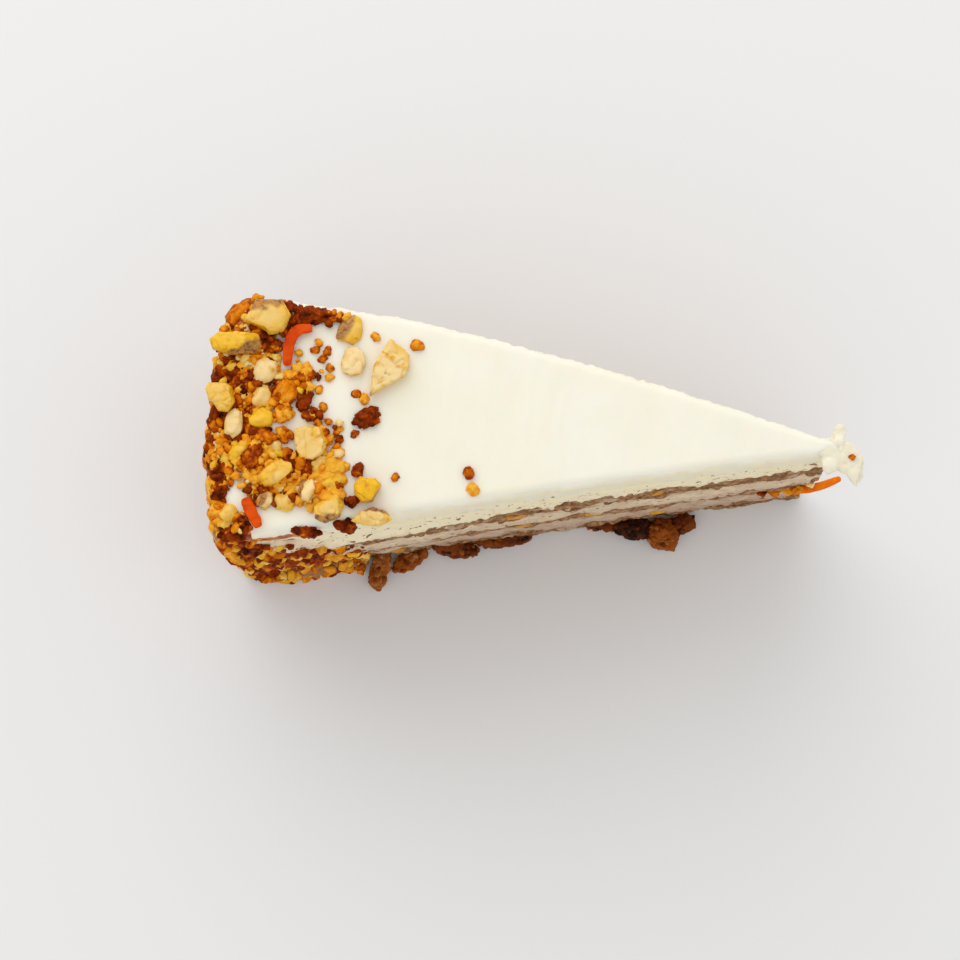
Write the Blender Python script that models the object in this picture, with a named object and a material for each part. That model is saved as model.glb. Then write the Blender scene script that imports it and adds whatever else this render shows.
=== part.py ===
"""A cut slice of three-layer carrot cake: cream icing, two fillings, chopped walnuts and carrot shreds."""
import math
import random

import bmesh
import bpy
from mathutils import Matrix, Vector, noise

MM = 0.001

# The round cake: its axis stands near the tip of the slice, and the slice points along +X.
AXIS_X = 66 * MM
HALF_ANGLE = math.radians(11.9)
TIP_RADIUS = 6 * MM
ICING_RADIUS = 128 * MM
COAT = 4.2 * MM
GAP = 0.3 * MM
CAKE_RADIUS = ICING_RADIUS - COAT - GAP

# Levels above the foot of the slice.
TOP = 74 * MM
CAKE_HEIGHT = 17.5 * MM
FILLING_HEIGHT = 5.4 * MM

# The far cut stands out in the middle and falls back before the corner.
FAR_BULGE = 1.5 * MM
FAR_MIDDLE = 58 * MM
FAR_REACH = 45 * MM
FAR_TAPER = 1.5 * MM

# The near cut is a little hollow along its top edge, and has a soft belly below that, most near the back.
NEAR_HOLLOW = 0.6 * MM
HOLLOW_LENGTH = 115 * MM
BELLY = 0.7 * MM
BACK_BELLY = 1.4 * MM
BELLY_LOW = 45 * MM
BELLY_HIGH = 52 * MM

# Rounding: the two back corners seen from above, the rim, and the soft edges along the cuts.
FAR_CORNER = 11 * MM
NEAR_CORNER = 3.5 * MM
RIM_ROUND = 4.2 * MM
FAR_EDGE = 1.6 * MM
NEAR_EDGE = 2.4 * MM

# Relief of the solids, and the size of its grain.
LAYER_WAVE = 1.1 * MM
WAVE_LENGTH = 26 * MM
CRUMB_RELIEF = 0.75 * MM
CRUMB_GRAIN = 4.5 * MM
CREAM_RELIEF = 0.3 * MM
FILLING_GRAIN = 7 * MM
ICING_GRAIN = 6 * MM
RIDGE_RELIEF = 0.3 * MM
SLIVER = 0.01 * MM

RADIAL_STEPS = 34
COLUMNS = 6

# Large walnut pieces on top: x, y and height in mm, and the outline seen from above, round that place.
WALNUTS = {
    "walnut_far_corner": (-53.2, 17.8, 5.0, (
        (-4.5, -1.0), (-2.6, 3.2), (2.7, 3.6), (4.5, 0.7), (3.4, -2.5), (0.9, -3.6), (-2.2, -2.4))),
    "walnut_far_rim": (-59.0, 12.3, 4.8, (
        (-5.3, 0.2), (-3.9, 1.9), (0.0, 2.1), (4.2, 2.0), (5.3, -0.2), (3.9, -1.7), (-1.0, -2.4),
        (-4.5, -1.6))),
    "walnut_back_rim": (-61.2, 1.4, 4.4, (
        (-3.1, 1.4), (-2.5, 2.7), (2.3, 2.8), (3.1, -0.5), (1.6, -2.8), (-0.2, -2.8), (-2.2, -0.8))),
    "walnut_large": (-28.5, 9.5, 3.6, (
        (-0.4, 6.0), (3.4, 3.2), (3.8, -0.1), (2.6, -1.8), (-3.8, -6.0), (-3.5, -2.4), (-3.3, 0.2))),
    "walnut_pale": (-35.9, 10.2, 2.2, (
        (-2.5, -0.2), (-1.8, 2.5), (-0.1, 3.3), (2.0, 2.1), (2.5, 0.0), (1.7, -2.3), (-0.4, -3.3),
        (-2.1, -2.1))),
    "walnut_middle": (-43.0, -6.4, 4.4, (
        (-3.4, 2.4), (-1.0, 3.3), (1.7, 3.1), (3.4, 0.8), (2.6, -2.0), (0.7, -3.3), (-1.8, -3.1),
        (-2.8, -1.2))),
    "walnut_near_rim": (-49.0, -12.8, 4.4, (
        (-3.8, -0.9), (-2.2, 1.0), (-0.5, 2.5), (3.4, 2.7), (3.8, 1.1), (2.2, -1.1), (-0.1, -2.3),
        (-2.4, -2.7))),
    "walnut_grey": (-42.9, -15.6, 4.2, (
        (-1.9, 2.6), (0.9, 2.4), (1.6, 0.2), (0.4, -2.4), (-1.2, -2.0))),
    "walnut_near_edge": (-38.5, -19.1, 4.4, (
        (-2.9, 0.3), (-1.0, 2.5), (1.7, 2.9), (3.0, 1.1), (2.3, -1.4), (-0.5, -2.9), (-2.5, -2.1))),
    "walnut_yellow": (-31.3, -14.9, 4.4, (
        (-2.7, 0.6), (-1.6, 2.6), (1.4, 2.5), (2.7, 1.2), (1.4, -2.2), (-0.9, -2.6), (-2.3, -0.9))),
    "walnut_almond_shaped": (-29.9, -19.9, 3.4, (
        (-4.1, -1.2), (-2.3, 0.8), (0.0, 1.8), (2.5, 1.2), (4.0, -0.4), (1.5, -1.9), (-1.8, -1.9))),
}

# Smaller pieces on top, fused to the icing: x, y, length, width, height in mm and heading in degrees.
TOP_PIECES = (
    (-36.8, 16.9, 5.8, 4.8, 3.4, 70),
    (-53.0, 7.3, 6.2, 4.6, 4.0, 55),
    (-58.4, -3.4, 6.0, 3.6, 3.8, 85),
    (-53.0, -2.2, 4.8, 4.0, 3.6, 20),
    (-53.4, 2.3, 4.8, 4.0, 3.4, 60),
    (-32.4, -0.4, 5.6, 3.6, 2.6, 25),
    (-44.6, 19.0, 6.2, 3.4, 3.0, 5),
    (-48.9, 3.6, 5.8, 4.6, 2.8, 70),
    (-45.0, 1.6, 3.8, 2.6, 2.4, 80),
    (-47.2, -18.0, 4.4, 4.0, 3.6, 0),
    (-38.0, -13.6, 5.6, 3.0, 3.0, 5),
    (-34.3, -17.2, 2.6, 2.4, 2.4, 0),
    (-33.6, -10.9, 2.8, 2.2, 2.2, 80),
    (-54.2, -9.6, 5.6, 4.8, 3.6, 60),
    (-57.9, -21.2, 3.8, 3.4, 3.4, 20),
    (-57.0, -8.8, 4.4, 3.2, 3.0, 40),
)

# Small crumbs on the open icing, fused to it: x, y and width in mm.
TOP_CRUMBS = (
    (-43.1, -0.4, 1.8), (-41.2, 1.0, 1.7), (-41.0, -3.5, 1.8), (-42.9, 13.7, 1.5),
    (-43.6, 12.2, 1.6), (-42.0, 10.6, 1.6), (-41.2, 12.2, 1.6), (-40.5, 8.9, 1.5),
    (-43.5, 7.4, 1.5), (-40.4, 7.0, 1.6), (-42.2, 4.4, 1.6), (-33.2, 3.2, 2.0),
    (-31.9, 15.6, 1.7), (-23.7, 14.6, 2.4), (-34.6, -3.8, 1.5), (-26.1, -11.8, 1.6),
    (-11.8, -10.0, 2.2), (-10.7, -13.2, 2.4), (-47.6, -8.4, 2.0), (-39.2, -9.6, 2.2),
    (-37.2, -7.9, 2.0), (-38.9, -11.4, 2.0), (-36.0, -10.4, 1.9), (-34.9, 4.1, 1.7),
)

# Crumbs that hang over the near edge: x, y, z, length, width, height in mm and heading.
EDGE_CRUMBS = (
    (-35.2, -21.9, 73.0, 4.4, 2.8, 3.2, 2),
    (-42.9, -23.5, 72.8, 6.8, 2.2, 2.0, -6),
    (-57.0, -25.0, 73.2, 5.4, 3.2, 3.4, 10),
)

# Lumps of cake squashed out along the foot of the near cut: x, y, length, width and height in mm and heading.
FOOT_LUMPS = (
    (-43.0, -23.3, 19.0, 5.2, 5.4, 11),
    (-30.6, -23.4, 9.8, 4.2, 4.6, 80),
    (-24.3, -21.0, 8.6, 4.0, 3.6, 38),
    (-14.4, -17.7, 10.0, 4.8, 3.2, -6),
    (-4.2, -15.0, 12.5, 4.0, 3.2, 9),
    (17.6, -10.1, 9.5, 3.2, 2.8, 2),
    (24.4, -10.6, 9.0, 5.2, 3.8, -6),
    (30.8, -11.6, 7.0, 6.8, 4.4, 0),
    (34.6, -9.3, 6.8, 4.2, 3.2, 30),
)

# The strip of carrot that sticks out of the middle cake layer at the tip, in mm.
TIP_SHRED = ((54.5, -1.6, 27.0), (57.6, -2.9, 27.5), (61.4, -2.2, 28.6), (65.9, -0.3, 30.0))
TIP_SHRED_WIDTH = 1.8 * MM
TIP_SHRED_DEPTH = 1.2 * MM

# Strips of carrot on the top, in mm.
TOP_SHREDS = {
    "carrot_shred_far": ((-44.4, 16.4, 75.0), (-47.4, 15.6, 75.2), (-48.7, 12.8, 75.3), (-48.8, 8.6, 75.0)),
    "carrot_shred_near": ((-55.0, -18.0, 75.1), (-53.7, -20.4, 75.2), (-51.8, -23.5, 75.0)),
}
SHRED_WIDTH = 2.3 * MM
SHRED_DEPTH = 0.9 * MM

# The smear of icing that the knife left across the tip, in two lobes: x, y, z and height in mm, and the
# outline seen from above, round that place.
TIP_SMEAR = (
    (59.4, 0.0, 72.9, 2.6, (
        (-2.9, 1.5), (-1.0, 2.1), (0.0, 4.5), (1.4, 5.0), (2.3, 3.7), (1.9, 1.6), (1.7, -1.8), (0.6, -4.8),
        (-1.0, -5.5), (-2.2, -4.4))),
    (63.1, -3.1, 72.6, 2.4, (
        (-1.9, 4.6), (-0.3, 4.3), (1.3, 2.6), (2.4, 0.7), (2.5, -2.1), (1.1, -4.5), (0.0, -3.4), (-1.4, -1.7),
        (-3.0, 0.4), (-2.6, 2.9))),
)

# Chopped nuts on the back wall, from round the near corner to round the far one, measured from its middle.
WALL_ROWS = 11
WALL_COLUMNS = 8
WALL_NEAR = -23.8 * MM
WALL_FAR = 23.4 * MM
WALL_LOW = 3.6 * MM
WALL_HIGH = 69.1 * MM

# The band of small nuts along the rim of the top. A streak across it is bare, and so is a strip along the
# near edge: sideways from -1 to 1.
RIM_BAND = 15.5 * MM
RIM_TRIES = 900
STREAK_FROM = -0.82
STREAK_TO = -0.46
STREAK_BAND = 6 * MM
STRIP_TO = -0.78
STRIP_BAND = 6 * MM


def clear_scene():
    for item in list(bpy.data.objects):
        bpy.data.objects.remove(item)


def new_collection(name):
    collection = bpy.data.collections.new(name)
    bpy.context.scene.collection.children.link(collection)
    return collection


def plain_material(name, colour, roughness, subsurface):
    material = bpy.data.materials.new(name)
    material.use_nodes = True
    shader = material.node_tree.nodes["Principled BSDF"]
    shader.inputs["Base Color"].default_value = (*colour, 1)
    shader.inputs["Roughness"].default_value = roughness
    shader.inputs["Subsurface Weight"].default_value = subsurface
    return material


def icing_material(name):
    return plain_material(name, (0.90, 0.86, 0.76), 0.45, 0.2)


def cake_material(name):
    return plain_material(name, (0.42, 0.25, 0.12), 0.85, 0.1)


def filling_material(name):
    return plain_material(name, (0.80, 0.72, 0.58), 0.5, 0.2)


def walnut_material(name):
    return plain_material(name, (0.78, 0.60, 0.30), 0.55, 0.2)


def carrot_material(name):
    return plain_material(name, (0.80, 0.24, 0.03), 0.4, 0.2)


def to_object(name, mesh_data, collection, material):
    mesh = bpy.data.meshes.new(name)
    mesh_data.to_mesh(mesh)
    mesh_data.free()
    for face in mesh.polygons:
        face.use_smooth = True
    mesh.materials.append(material)
    item = bpy.data.objects.new(name, mesh)
    collection.objects.link(item)
    return item


def ease(low, high, value):
    share = min(max((value - low) / (high - low), 0), 1)
    return share * share * (3 - 2 * share)


def rounded(first, second, radius):
    """Two depths below two faces that meet at an edge, moved so that the edge becomes an arc."""
    first_in = radius - first
    second_in = radius - second
    if first_in <= 0 or second_in <= 0:
        return first, second
    pull = max(first_in, second_in) / math.hypot(first_in, second_in)
    return radius - first_in * pull, radius - second_in * pull


def far_shift(radius):
    """How far the far cut stands out of a straight line from the cake's axis."""
    bulge = FAR_BULGE * math.cos(math.pi / 2 * (radius - FAR_MIDDLE) / FAR_REACH)
    return bulge - FAR_TAPER * ease(92 * MM, 118 * MM, radius)


def near_shift(radius, height):
    """How far the near cut stands out: hollow at its top edge, with a belly below."""
    hollow = NEAR_HOLLOW * math.sin(math.pi * min(radius / HOLLOW_LENGTH, 1)) * ease(BELLY_HIGH, TOP, height)
    belly = BELLY + BACK_BELLY * ease(55 * MM, 102 * MM, radius)
    belly *= 1 - 0.6 * ease(112 * MM, ICING_RADIUS, radius)
    return belly * ease(5 * MM, BELLY_LOW, height) * (1 - 0.8 * ease(BELLY_HIGH, TOP, height)) - hollow


def in_plan(radius, across, height):
    """The place at a radius from the cake's axis, across from -1 on the near cut to 1 on the far one."""
    angle = across * HALF_ANGLE
    shift = across * (far_shift(radius) if across > 0 else near_shift(radius, height))
    return AXIS_X - radius * math.cos(angle), radius * math.sin(angle) + shift


def layer_wave(radius, across):
    """How much the layers rise and sink along the slice. It fades out towards the back wall."""
    near = noise.noise(Vector((radius / WAVE_LENGTH, 0.4, 4.3)))
    far = noise.noise(Vector((radius / WAVE_LENGTH, 5.9, 4.3)))
    wave = near + (far - near) * (across + 1) / 2
    return LAYER_WAVE * wave * ease(CAKE_RADIUS, CAKE_RADIUS - 20 * MM, radius)


def placed(radius, across, height):
    """A point of the cake, with its layers wavy and its back corners and rim rounded."""
    across = math.sin(across * math.pi / 2)
    wave = layer_wave(radius, across) * ease(0, 12 * MM, height) * ease(TOP, TOP - 12 * MM, height)
    side = math.copysign(1, across)
    corner, edge = (FAR_CORNER, FAR_EDGE) if across > 0 else (NEAR_CORNER, NEAR_EDGE)
    depth = ICING_RADIUS - radius
    half_width = radius * HALF_ANGLE
    depth, inset = rounded(depth, (1 - abs(across)) * half_width, corner)
    below = TOP - height
    depth, below = rounded(depth, below, RIM_ROUND)
    inset, below = rounded(inset, below, min(edge, 0.8 * half_width))
    radius = ICING_RADIUS - depth
    x, y = in_plan(radius, side * (1 - inset / (radius * HALF_ANGLE)), TOP - below)
    return Vector((x, y, TOP - below + wave))


def cut_relief(point, across, amount, grain):
    """Moves a point of a cut face in and out, and leaves the other points."""
    if abs(across) < 0.99:
        return point
    rough = noise.noise(Vector((point.x / grain, point.z / grain, 9.1 * across)))
    return point + Vector((0, math.copysign(1, across) * amount * rough, 0))


def tip_relief(point, radius, amount):
    if radius > TIP_RADIUS + 0.1 * MM:
        return point
    return point + Vector((amount * noise.noise(Vector((3.3, point.y / (2 * MM), point.z / (7 * MM)))), 0, 0))


def sector_block(radii, columns, heights):
    """A closed block in cake coordinates: radius, across and height stand in x, y and z."""
    block = bmesh.new()
    last = len(radii) - 1
    bmesh.ops.create_grid(block, x_segments=last, y_segments=columns, size=1)
    for vert in block.verts:
        vert.co = (radii[round((vert.co.x + 1) / 2 * last)], vert.co.y, heights[0])
    back = [edge for edge in block.edges if min(vert.co.x for vert in edge.verts) > radii[-1] - 0.01 * MM]
    if columns < COLUMNS:
        bmesh.ops.subdivide_edges(block, edges=back, cuts=COLUMNS - 1)
    raise_faces(block, block.faces[:], heights[1:])
    return block


def raise_faces(block, faces, heights):
    """Extrudes the faces to each of the heights in turn."""
    for height in heights:
        edges = list({edge for face in faces for edge in face.edges})
        made = bmesh.ops.extrude_face_region(block, geom=faces + edges)["geom"]
        faces = [item for item in made if isinstance(item, bmesh.types.BMFace)]
        for item in made:
            if isinstance(item, bmesh.types.BMVert):
                item.co.z = height


def shaped_block(block, relief, grain):
    """Moves the block from cake coordinates to its place, with relief on the cut faces and the tip."""
    for vert in block.verts:
        radius, across, height = vert.co
        point = placed(radius, across, height)
        point = cut_relief(point, across, relief, grain)
        vert.co = tip_relief(point, radius, relief)
    return facing_out(block)


def facing_out(block):
    bmesh.ops.recalc_face_normals(block, faces=block.faces)
    if block.calc_volume(signed=True) < 0:
        bmesh.ops.reverse_faces(block, faces=block.faces)
    return block


def steps(first, last, count):
    return [first + (last - first) * step / count for step in range(count + 1)]


def cake_layer(name, foot, collection):
    radii = steps(TIP_RADIUS, CAKE_RADIUS, RADIAL_STEPS)
    block = sector_block(radii, 1, steps(foot, foot + CAKE_HEIGHT, 4))
    shaped_block(block, CRUMB_RELIEF, CRUMB_GRAIN)
    return to_object(name, block, collection, cake_material(name))


def filling(name, foot, collection):
    radii = steps(TIP_RADIUS, CAKE_RADIUS, RADIAL_STEPS)
    block = sector_block(radii, 1, steps(foot, foot + FILLING_HEIGHT, 2))
    shaped_block(block, CREAM_RELIEF, FILLING_GRAIN)
    return to_object(name, block, collection, filling_material(name))


def ridged_top(point):
    """Faint ridges across the top, as the palette knife left them when the whole cake was turned."""
    radius = math.hypot(AXIS_X - point.x, point.y)
    ridge = noise.noise(Vector((radius / (9 * MM), point.y / (60 * MM), 1.7)))
    lift = RIDGE_RELIEF * ridge * ease(TOP - 3 * MM, TOP, point.z)
    return point + Vector((0, 0, lift))


def icing(name, foot, collection):
    """The slab on top and the coat down the back, in one piece."""
    radii = steps(TIP_RADIUS, CAKE_RADIUS + GAP, RADIAL_STEPS)
    radii += [ICING_RADIUS - 2 * MM, ICING_RADIUS]
    block = sector_block(radii, COLUMNS, [foot, TOP - 5 * MM, TOP - 2 * MM, TOP - 0.6 * MM, TOP])
    behind = [
        face for face in block.faces
        if face.calc_center_median().x > CAKE_RADIUS + GAP
        and abs(face.calc_center_median().z - foot) < 0.01 * MM
    ]
    raise_faces(block, behind, steps(foot, 0, 8)[1:])
    shaped_block(block, CREAM_RELIEF, ICING_GRAIN)
    for vert in block.verts:
        vert.co = ridged_top(vert.co)
    return to_object(name, block, collection, icing_material(name))


def broken_shape(seed):
    """What one broken piece looks like: where its lumps lie in the noise, and its flat breaks."""
    draw = random.Random(seed)
    lumps = Vector((draw.uniform(-9, 9), draw.uniform(-9, 9), draw.uniform(-9, 9)))
    breaks = []
    for _ in range(5):
        facing = Vector((draw.gauss(0, 1), draw.gauss(0, 1), draw.gauss(0, 1))).normalized()
        breaks.append((facing, draw.uniform(0.66, 0.85)))
    return lumps, breaks


def chunk_reach(direction, lumps, breaks):
    """How far a broken piece reaches in a direction, from about 0.6 to 1."""
    reach = 0.9 + 0.22 * noise.noise(direction * 1.2 + lumps)
    for facing, depth in breaks:
        along = facing.dot(direction)
        if along > 0.3:
            reach = min(reach, depth / along)
    return reach


def chunk(name, centre, size, turn, seed, divisions, collection, material):
    """A broken piece that fills its size exactly. The turn takes it from lying flat to its place."""
    body = bmesh.new()
    bmesh.ops.create_icosphere(body, subdivisions=divisions, radius=1)
    lumps, breaks = broken_shape(seed)
    for vert in body.verts:
        direction = vert.co.normalized()
        vert.co = direction * chunk_reach(direction, lumps, breaks)
    low = [min(vert.co[axis] for vert in body.verts) for axis in range(3)]
    high = [max(vert.co[axis] for vert in body.verts) for axis in range(3)]
    for vert in body.verts:
        shares = [(vert.co[axis] - low[axis]) / (high[axis] - low[axis]) - 0.5 for axis in range(3)]
        vert.co = centre + turn @ Vector([shares[axis] * size[axis] for axis in range(3)])
    return to_object(name, body, collection, material)


def outline_reach(direction, outline):
    """How far an outline round the origin reaches in a direction."""
    reach = 0
    for start, end in zip(outline, outline[1:] + outline[:1]):
        edge = (end[0] - start[0], end[1] - start[1])
        turn = direction.x * edge[1] - direction.y * edge[0]
        if abs(turn) > 1e-9:
            along = (start[0] * edge[1] - start[1] * edge[0]) / turn
            share = (start[0] * direction.y - start[1] * direction.x) / turn
            if along > 0 and -1e-6 <= share <= 1 + 1e-6:
                reach = max(reach, along)
    return reach


def slab_point(direction, outline, height, breaks):
    """A point of a piece with an outline and a height in mm, on which flat breaks cut the upper side."""
    flat = Vector((direction.x, direction.y))
    level = math.copysign(abs(direction.z) ** 0.65, direction.z)
    reach = outline_reach(flat.normalized(), outline) if flat.length > 1e-4 else 0
    broad = flat.length ** 0.55
    for facing, depth in breaks:
        along = facing.x * direction.x + facing.y * direction.y + abs(facing.z) * level
        if along > depth:
            level *= depth / along
            broad *= depth / along
    out = flat.normalized() * reach * broad if reach else flat
    return Vector((out.x, out.y, level * height / 2)) * MM


def slab(name, centre, height, outline, seed, collection, material):
    """A broken piece with its own outline. The centre is in metres, and the outline and height in mm."""
    body = bmesh.new()
    bmesh.ops.create_icosphere(body, subdivisions=2, radius=1)
    breaks = broken_shape(seed)[1][:2]
    for vert in body.verts:
        vert.co = centre + slab_point(vert.co.normalized(), outline, height, breaks)
    return to_object(name, body, collection, material)


def lying(heading, tilt=0.0):
    return Matrix.Rotation(math.radians(heading), 3, "Z") @ Matrix.Rotation(math.radians(tilt), 3, "X")


def outward(angle, heading):
    """The turn of a piece that lies against the back wall: its flat side faces the cake's axis."""
    facing = Vector((-math.cos(angle), math.sin(angle), 0))
    stand = facing.to_track_quat("Z", "Y").to_matrix()
    return stand @ Matrix.Rotation(math.radians(heading), 3, "Z")


def gap_to(spot, corners):
    """How far a spot lies from the line through the corners."""
    gaps = []
    for start, end in zip(corners, corners[1:]):
        along = end - start
        share = min(max((spot - start).dot(along) / along.length_squared, 0), 1)
        gaps.append((spot - start - along * share).length)
    return min(gaps)


def touches_walnut(x, y, reach):
    """Whether a piece at x, y in mm with this reach would touch one of the large walnuts or shreds."""
    for walnut_x, walnut_y, _, outline in WALNUTS.values():
        spot = Vector((x - walnut_x, y - walnut_y))
        corners = [Vector(corner) for corner in outline + outline[:1]]
        if gap_to(spot, corners) < reach or spot.length < outline_reach(spot.normalized(), outline):
            return True
    for path in TOP_SHREDS.values():
        if gap_to(Vector((x, y)), [Vector(point[:2]) for point in path]) < reach + 1.3:
            return True
    return False


def scatter_pieces():
    """Chopped nuts and crumbs that are fused to the icing: centre, size, turn and seed of each."""
    pieces = []
    for x, y, length, width, height, heading in TOP_PIECES:
        centre = Vector((x, y, TOP / MM + 0.1 + height * 0.12)) * MM
        pieces.append((centre, Vector((length, width, height)) * MM, lying(heading), len(pieces)))
    for x, y, width in TOP_CRUMBS:
        centre = Vector((x, y, TOP / MM + width * 0.08)) * MM
        size = Vector((width * 1.25, width, width)) * MM
        pieces.append((centre, size, lying(37 * len(pieces)), len(pieces)))
    for x, y, z, length, width, height, heading in EDGE_CRUMBS:
        centre = Vector((x, y, z)) * MM
        pieces.append((centre, Vector((length, width, height)) * MM, lying(heading), len(pieces)))
    return pieces + rim_pieces(len(pieces)) + wall_pieces(500)


def rim_pieces(first_seed):
    """Small pieces that fill the band along the rim, between the ones placed above."""
    draw = random.Random(21)
    pieces = []
    taken = [(x * MM, y * MM, length / 2 * MM) for x, y, length, _, _, _ in TOP_PIECES]
    for _ in range(RIM_TRIES):
        across = draw.uniform(-0.93, 0.93)
        depth = 0.5 * MM + RIM_BAND * draw.random() ** 1.3
        width = draw.uniform(2.0, 4.4) * MM
        x, y = in_plan(ICING_RADIUS - depth, across, TOP)
        crowded = any(math.hypot(x - tx, y - ty) < (width / 2 + reach) * 0.86 for tx, ty, reach in taken)
        bare = bare_of_nuts(depth, across)
        touching = touches_walnut(x / MM, y / MM, width / MM * 0.62 + 0.2)
        if crowded or bare or touching or off_the_top(depth, across):
            continue
        taken.append((x, y, width / 2))
        sunk = 0.32 * max(RIM_ROUND - depth, 0)
        centre = Vector((x, y, TOP - sunk + width * 0.18))
        size = Vector((1.2, 1, 0.85)) * width
        turn = lying(draw.uniform(0, 180), draw.uniform(-15, 15))
        pieces.append((centre, size, turn, first_seed + len(pieces)))
    return pieces


def bare_of_nuts(depth, across):
    """Whether a place this deep inside the back lies in the bare streak or the bare strip."""
    streak = STREAK_FROM < across < STREAK_TO and depth < STREAK_BAND
    return streak or across < STRIP_TO and depth > STRIP_BAND


def off_the_top(depth, across):
    """Whether a place on top, this deep inside the back, lies outside the cut or a rounded corner."""
    corner = FAR_CORNER if across > 0 else NEAR_CORNER
    inset = (1 - abs(across)) * (ICING_RADIUS - depth) * HALF_ANGLE
    if inset > corner or depth > corner:
        return inset < 1.1 * MM
    return math.hypot(corner - inset, corner - depth) > corner - 1.1 * MM


def wall_spot(run, height, lift):
    """A place on the back wall and the angle that the wall faces there, round both corners."""
    side = math.copysign(1, run)
    corner = FAR_CORNER if run > 0 else NEAR_CORNER
    half_width = ICING_RADIUS * HALF_ANGLE
    bend = max(abs(run) - half_width + corner, 0) / corner
    inset = corner * (1 - math.sin(bend)) if bend > 0 else half_width - abs(run)
    radius = ICING_RADIUS - corner * (1 - math.cos(bend)) + lift * math.cos(bend)
    angle = side * (HALF_ANGLE - (inset - lift * math.sin(bend)) / radius)
    x, y = in_plan(radius, angle / HALF_ANGLE, height)
    return Vector((x, y, height)), angle + side * bend


def wall_pieces(first_seed):
    """Chopped nuts pressed into the back wall, in uneven rows."""
    draw = random.Random(8)
    pieces = []
    for row in range(WALL_ROWS):
        for column in range(WALL_COLUMNS):
            stagger = 0.5 * (row % 2)
            share = (column + stagger + draw.uniform(-0.3, 0.3)) / (WALL_COLUMNS - 0.5)
            run = WALL_NEAR + (WALL_FAR - WALL_NEAR) * min(max(share, 0), 1)
            level = min(max((row + draw.uniform(-0.25, 0.25)) / (WALL_ROWS - 1), 0), 1)
            spot, angle = wall_spot(run, WALL_LOW + (WALL_HIGH - WALL_LOW) * level, 0.5 * MM)
            size = Vector((draw.uniform(5.8, 8.2), draw.uniform(4.8, 6.6), draw.uniform(3.2, 4.8))) * MM
            pieces.append((spot, size, outward(angle, draw.uniform(-40, 40)), first_seed + len(pieces)))
    return pieces


def strip(name, path, width, depth, collection, material):
    """A shred of carrot along a path, flat side up. The path is in mm."""
    points = [Vector(point) * MM for point in path]
    pieces = 4 * (len(points) - 1)
    body = bmesh.new()
    bmesh.ops.create_grid(body, x_segments=pieces, y_segments=1, size=1)
    raise_faces(body, body.faces[:], [1])
    for vert in body.verts:
        share = (vert.co.x + 1) / 2
        middle, along = along_path(points, share)
        side = Vector((0, 0, 1)).cross(along).normalized()
        taper = 1 - 0.45 * abs(2 * share - 1) ** 3
        lift = along.cross(side) * (vert.co.z - 0.5) * depth
        vert.co = middle + side * vert.co.y * width / 2 * taper + lift
    return to_object(name, facing_out(body), collection, material)


def along_path(points, share):
    """The place and the direction at a share of a smooth path through the points."""
    def place(at):
        at = min(max(at, 0), 0.9999) * (len(points) - 1)
        index = int(at)
        part = at - index
        before = points[max(index - 1, 0)]
        start = points[index]
        end = points[index + 1]
        after = points[min(index + 2, len(points) - 1)]
        return 0.5 * (
            2 * start + (end - before) * part + (2 * before - 5 * start + 4 * end - after) * part ** 2
            + (3 * start - before - 3 * end + after) * part ** 3
        )
    return place(share), (place(share + 0.02) - place(share - 0.02)).normalized()


def fuse(body, bits):
    """Joins the bits of a collection to the body, and removes them."""
    union = body.modifiers.new("fuse", "BOOLEAN")
    union.operation = "UNION"
    union.operand_type = "COLLECTION"
    union.collection = bits
    union.solver = "MANIFOLD"
    bpy.context.view_layer.objects.active = body
    bpy.ops.object.modifier_apply(modifier=union.name)
    for bit in list(bits.objects):
        bpy.data.objects.remove(bit)
    bpy.data.collections.remove(bits)


def shells_of(body):
    """The groups of faces that hang together."""
    left = set(body.faces)
    while left:
        shell = []
        waiting = [left.pop()]
        while waiting:
            face = waiting.pop()
            shell.append(face)
            beside = {other for edge in face.edges for other in edge.link_faces} & left
            left -= beside
            waiting += beside
        yield shell


def fill_cavities(item):
    """Removes the small closed hollows that bits leave where they meet, and slivers."""
    body = bmesh.new()
    body.from_mesh(item.data)
    for shell in list(shells_of(body)):
        middle = shell[0].calc_center_median()
        parts = [(face.calc_center_median() - middle).dot(face.normal) * face.calc_area() for face in shell]
        volume = sum(parts)
        if volume < 0:
            bmesh.ops.delete(body, geom=shell, context="FACES")
    bmesh.ops.dissolve_degenerate(body, dist=SLIVER, edges=body.edges)
    loose = [edge for edge in body.edges if not edge.link_faces]
    bmesh.ops.delete(body, geom=loose, context="EDGES")
    body.to_mesh(item.data)
    body.free()


def fuse_icing(body):
    bits = new_collection("nuts_and_crumbs")
    material = body.data.materials[0]
    for number, (centre, size, turn, seed) in enumerate(scatter_pieces()):
        chunk(f"bit_{number}", centre, size, turn, seed, 1, bits, material)
    for number, (x, y, z, height, outline) in enumerate(TIP_SMEAR):
        slab(f"smear_{number}", Vector((x, y, z)) * MM, height, outline, 40 + number, bits, material)
    fuse(body, bits)
    fill_cavities(body)


def fuse_foot_lumps(body):
    bits = new_collection("foot_lumps")
    material = body.data.materials[0]
    for number, (x, y, length, width, height, heading) in enumerate(FOOT_LUMPS):
        centre = Vector((x, y, height / 2)) * MM + Vector((0, 0, GAP))
        size = Vector((length, width, height)) * MM
        chunk(f"lump_{number}", centre, size, lying(heading), 70 + number, 2, bits, material)
    fuse(body, bits)


def fuse_tip_shred(body):
    bits = new_collection("tip_shred")
    strip("tip_strip", TIP_SHRED, TIP_SHRED_WIDTH, TIP_SHRED_DEPTH, bits, body.data.materials[0])
    fuse(body, bits)


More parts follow.
